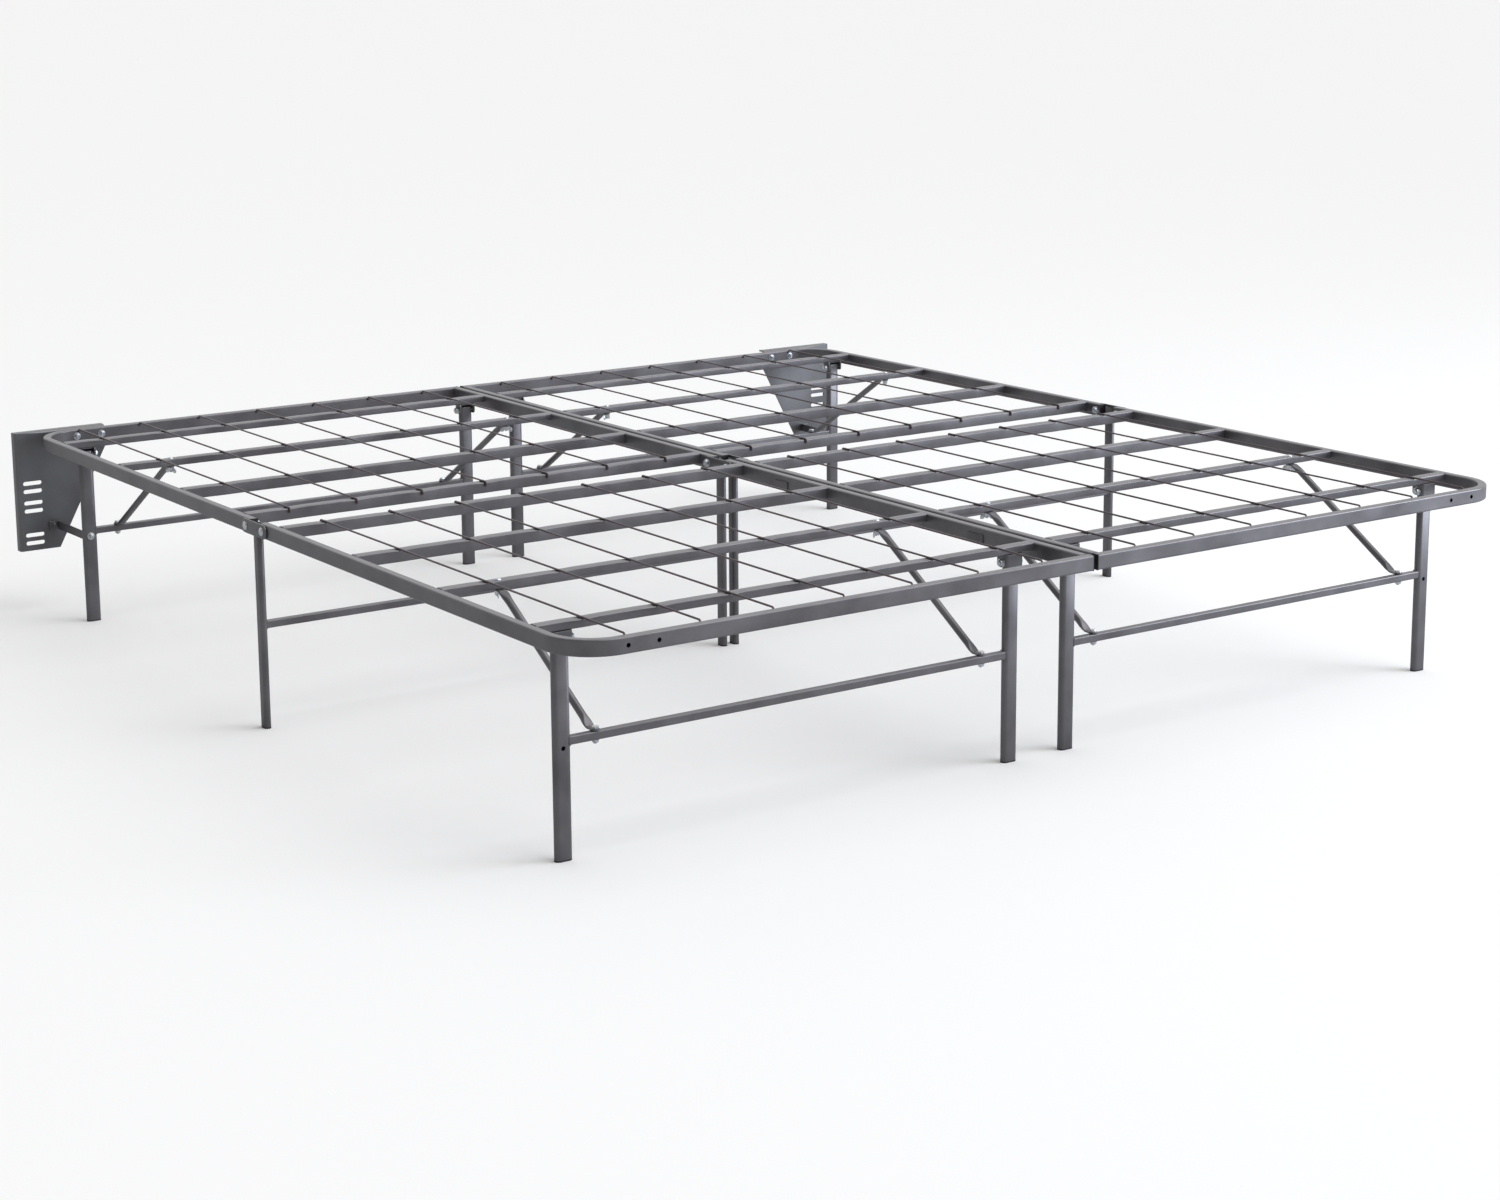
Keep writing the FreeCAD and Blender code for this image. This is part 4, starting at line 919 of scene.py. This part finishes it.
def slotCutter(x, z):
    # a flat oval carried straight through the sheet
    outline = ovalOutline(panShape["slotLong"], 2 * panShape["slotRadius"], 10)
    return closedLoft(np.stack([carried(outline, [(x, y, z)], [1, 0, 0], [0, 0, 1])[0]
                                for y in (endFace - 5 * mm, endFace + 8 * mm)]))


def strutPart():
    # a strap that lies on the leg, steps back and lies on the sheet
    s, level = strutShape, legShape["strutHole"]
    lines = (legShape["line"] * mm + s["offLeg"], endFace - s["wall"] / 2)
    corners = [(x, y, level) for pair, y in zip((s["legFlat"], s["sheetFlat"]), lines) for x in pair]
    path = bentPath(corners, s["bend"], 6)
    outline = roundedOutline(s["wall"], s["tall"], s["edgeRound"], 3, 0.3 * mm)
    return closedLoft(carried(outline, path, np.cross(alongPath(path), [0, 0, 1]), [0, 0, 1]))


addMirrored("{half}HeadboardBracket", "{half}_headboard_bracket", "section", [bracketPan()], sheetCoat,
            cutters=[slotCutter(panShape["slotLine"] * mm, z * mm) for z in panShape["slots"]])
addMirrored("{half}HeadboardBracketLip", "{half}_headboard_bracket", "section", [bracketLip()], sheetCoat)
addMirrored("{half}HeadboardStrut", "{half}_headboard_strut", "section", [strutPart()], sheetCoat)
print("brackets made")


# the feet and the rails' caps keep the shape they came with
for name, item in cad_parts.items():
    if name.endswith(("_feet", "_caps")):
        item.data.materials.clear()
        item.data.materials.append(plastic)


studio = {"floorHalf": 60.0, "seen": 0.87, "bounced": 0.5, "dim": 0.34, "bright": 1.02, "backdrop": 0.98,
          "toBright": (0.78, 0.62, 0.0), "dimTo": -0.6, "brightFrom": 0.9, "sun": 1.6, "sunWidth": 55,
          "sunFrom": (0.6, -0.5, 1.2)}
lampShape = {"place": (3.9, -3.4, 1.2), "target": (0.8, 0.2, 0.3), "wide": 2.4, "tall": 2.0, "power": 140,
             "colour": "#eaf2ff"}
cameraShape = {"place": (-2.8781, -4.2205, 1.3256), "down": 11.3, "turn": -34.6, "roll": -0.4,
               "lens": 67.67, "sensor": 36.0, "shift": (0.0053, -0.0773), "farthest": 200}


def intoScene(name, data, place=(0, 0, 0), turn=(0, 0, 0)):
    item = bpy.data.objects.new(name, data)
    item.location, item.rotation_euler = place, turn
    bpy.context.scene.collection.objects.link(item)
    return item


floorMesh = bpy.data.meshes.new("studioFloor")
reach = studio["floorHalf"]
floorMesh.from_pydata([(-reach, -reach, 0), (reach, -reach, 0), (reach, reach, 0), (-reach, reach, 0)], [],
                      [(0, 1, 2, 3)])
# white paper to the eye, which throws only a little light back up
paper, tree, shader, _ = newMaterial("whiteStudioPaper")
ray = addNode(tree, "ShaderNodeLightPath")
tone = addNode(tree, "ShaderNodeMapRange", None,
               {"Value": ray.outputs["Is Camera Ray"], "To Min": studio["bounced"],
                "To Max": studio["seen"]})
tree.links.new(tone.outputs["Result"], shader.inputs["Base Color"])
shader.inputs["Roughness"].default_value = 1.0
shader.inputs["Specular IOR Level"].default_value = 0.0
floorMesh.materials.append(paper)
intoScene("studioFloor", floorMesh)

world = bpy.data.worlds.new("studioSky")
bpy.context.scene.world = world
world.use_nodes = True
# a bright side behind the bed to the right, and a dim one behind the eye to the left
tree = world.node_tree
sky = tree.nodes["Background"]
direction = addNode(tree, "ShaderNodeTexCoord")
facing = addNode(tree, "ShaderNodeVectorMath", {"operation": "DOT_PRODUCT"},
                 {0: direction.outputs["Generated"], 1: studio["toBright"]})
fade = addNode(tree, "ShaderNodeMapRange", {"interpolation_type": "SMOOTHSTEP"},
               {"Value": facing.outputs["Value"], "From Min": studio["dimTo"],
                "From Max": studio["brightFrom"], "To Min": studio["dim"], "To Max": studio["bright"]})
# the eye itself sees an even white
ray = addNode(tree, "ShaderNodeLightPath")
shown = addNode(tree, "ShaderNodeMapRange", None,
                {"Value": ray.outputs["Is Camera Ray"], "To Min": fade.outputs["Result"],
                 "To Max": studio["backdrop"]})
tree.links.new(shown.outputs["Result"], sky.inputs["Strength"])
sky.inputs["Color"].default_value = sRgb("#ffffff")

sunLamp = bpy.data.lights.new("softSun", "SUN")
sunLamp.energy, sunLamp.angle = studio["sun"], math.radians(studio["sunWidth"])
intoScene("softSun", sunLamp, turn=Vector(studio["sunFrom"]).to_track_quat("Z", "Y").to_euler())

lamp = bpy.data.lights.new("rightBox", "AREA")
lamp.shape, lamp.size, lamp.size_y = "RECTANGLE", lampShape["wide"], lampShape["tall"]
lamp.energy, lamp.color = lampShape["power"], sRgb(lampShape["colour"])[:3]
aim = Vector(lampShape["target"]) - Vector(lampShape["place"])
intoScene("rightBox", lamp, lampShape["place"], aim.to_track_quat("-Z", "Y").to_euler())

lens = bpy.data.cameras.new("studioCamera")
lens.lens, lens.sensor_width = cameraShape["lens"], cameraShape["sensor"]
lens.shift_x, lens.shift_y = cameraShape["shift"]
lens.clip_end = cameraShape["farthest"]
level = Euler((math.radians(90 - cameraShape["down"]), 0, math.radians(cameraShape["turn"]))).to_matrix()
roll = Matrix.Rotation(math.radians(cameraShape["roll"]), 3, "Z")
bpy.context.scene.camera = intoScene("studioCamera", lens, cameraShape["place"], (level @ roll).to_euler())
bpy.context.scene.view_settings.view_transform = "Standard"
print("studio made")
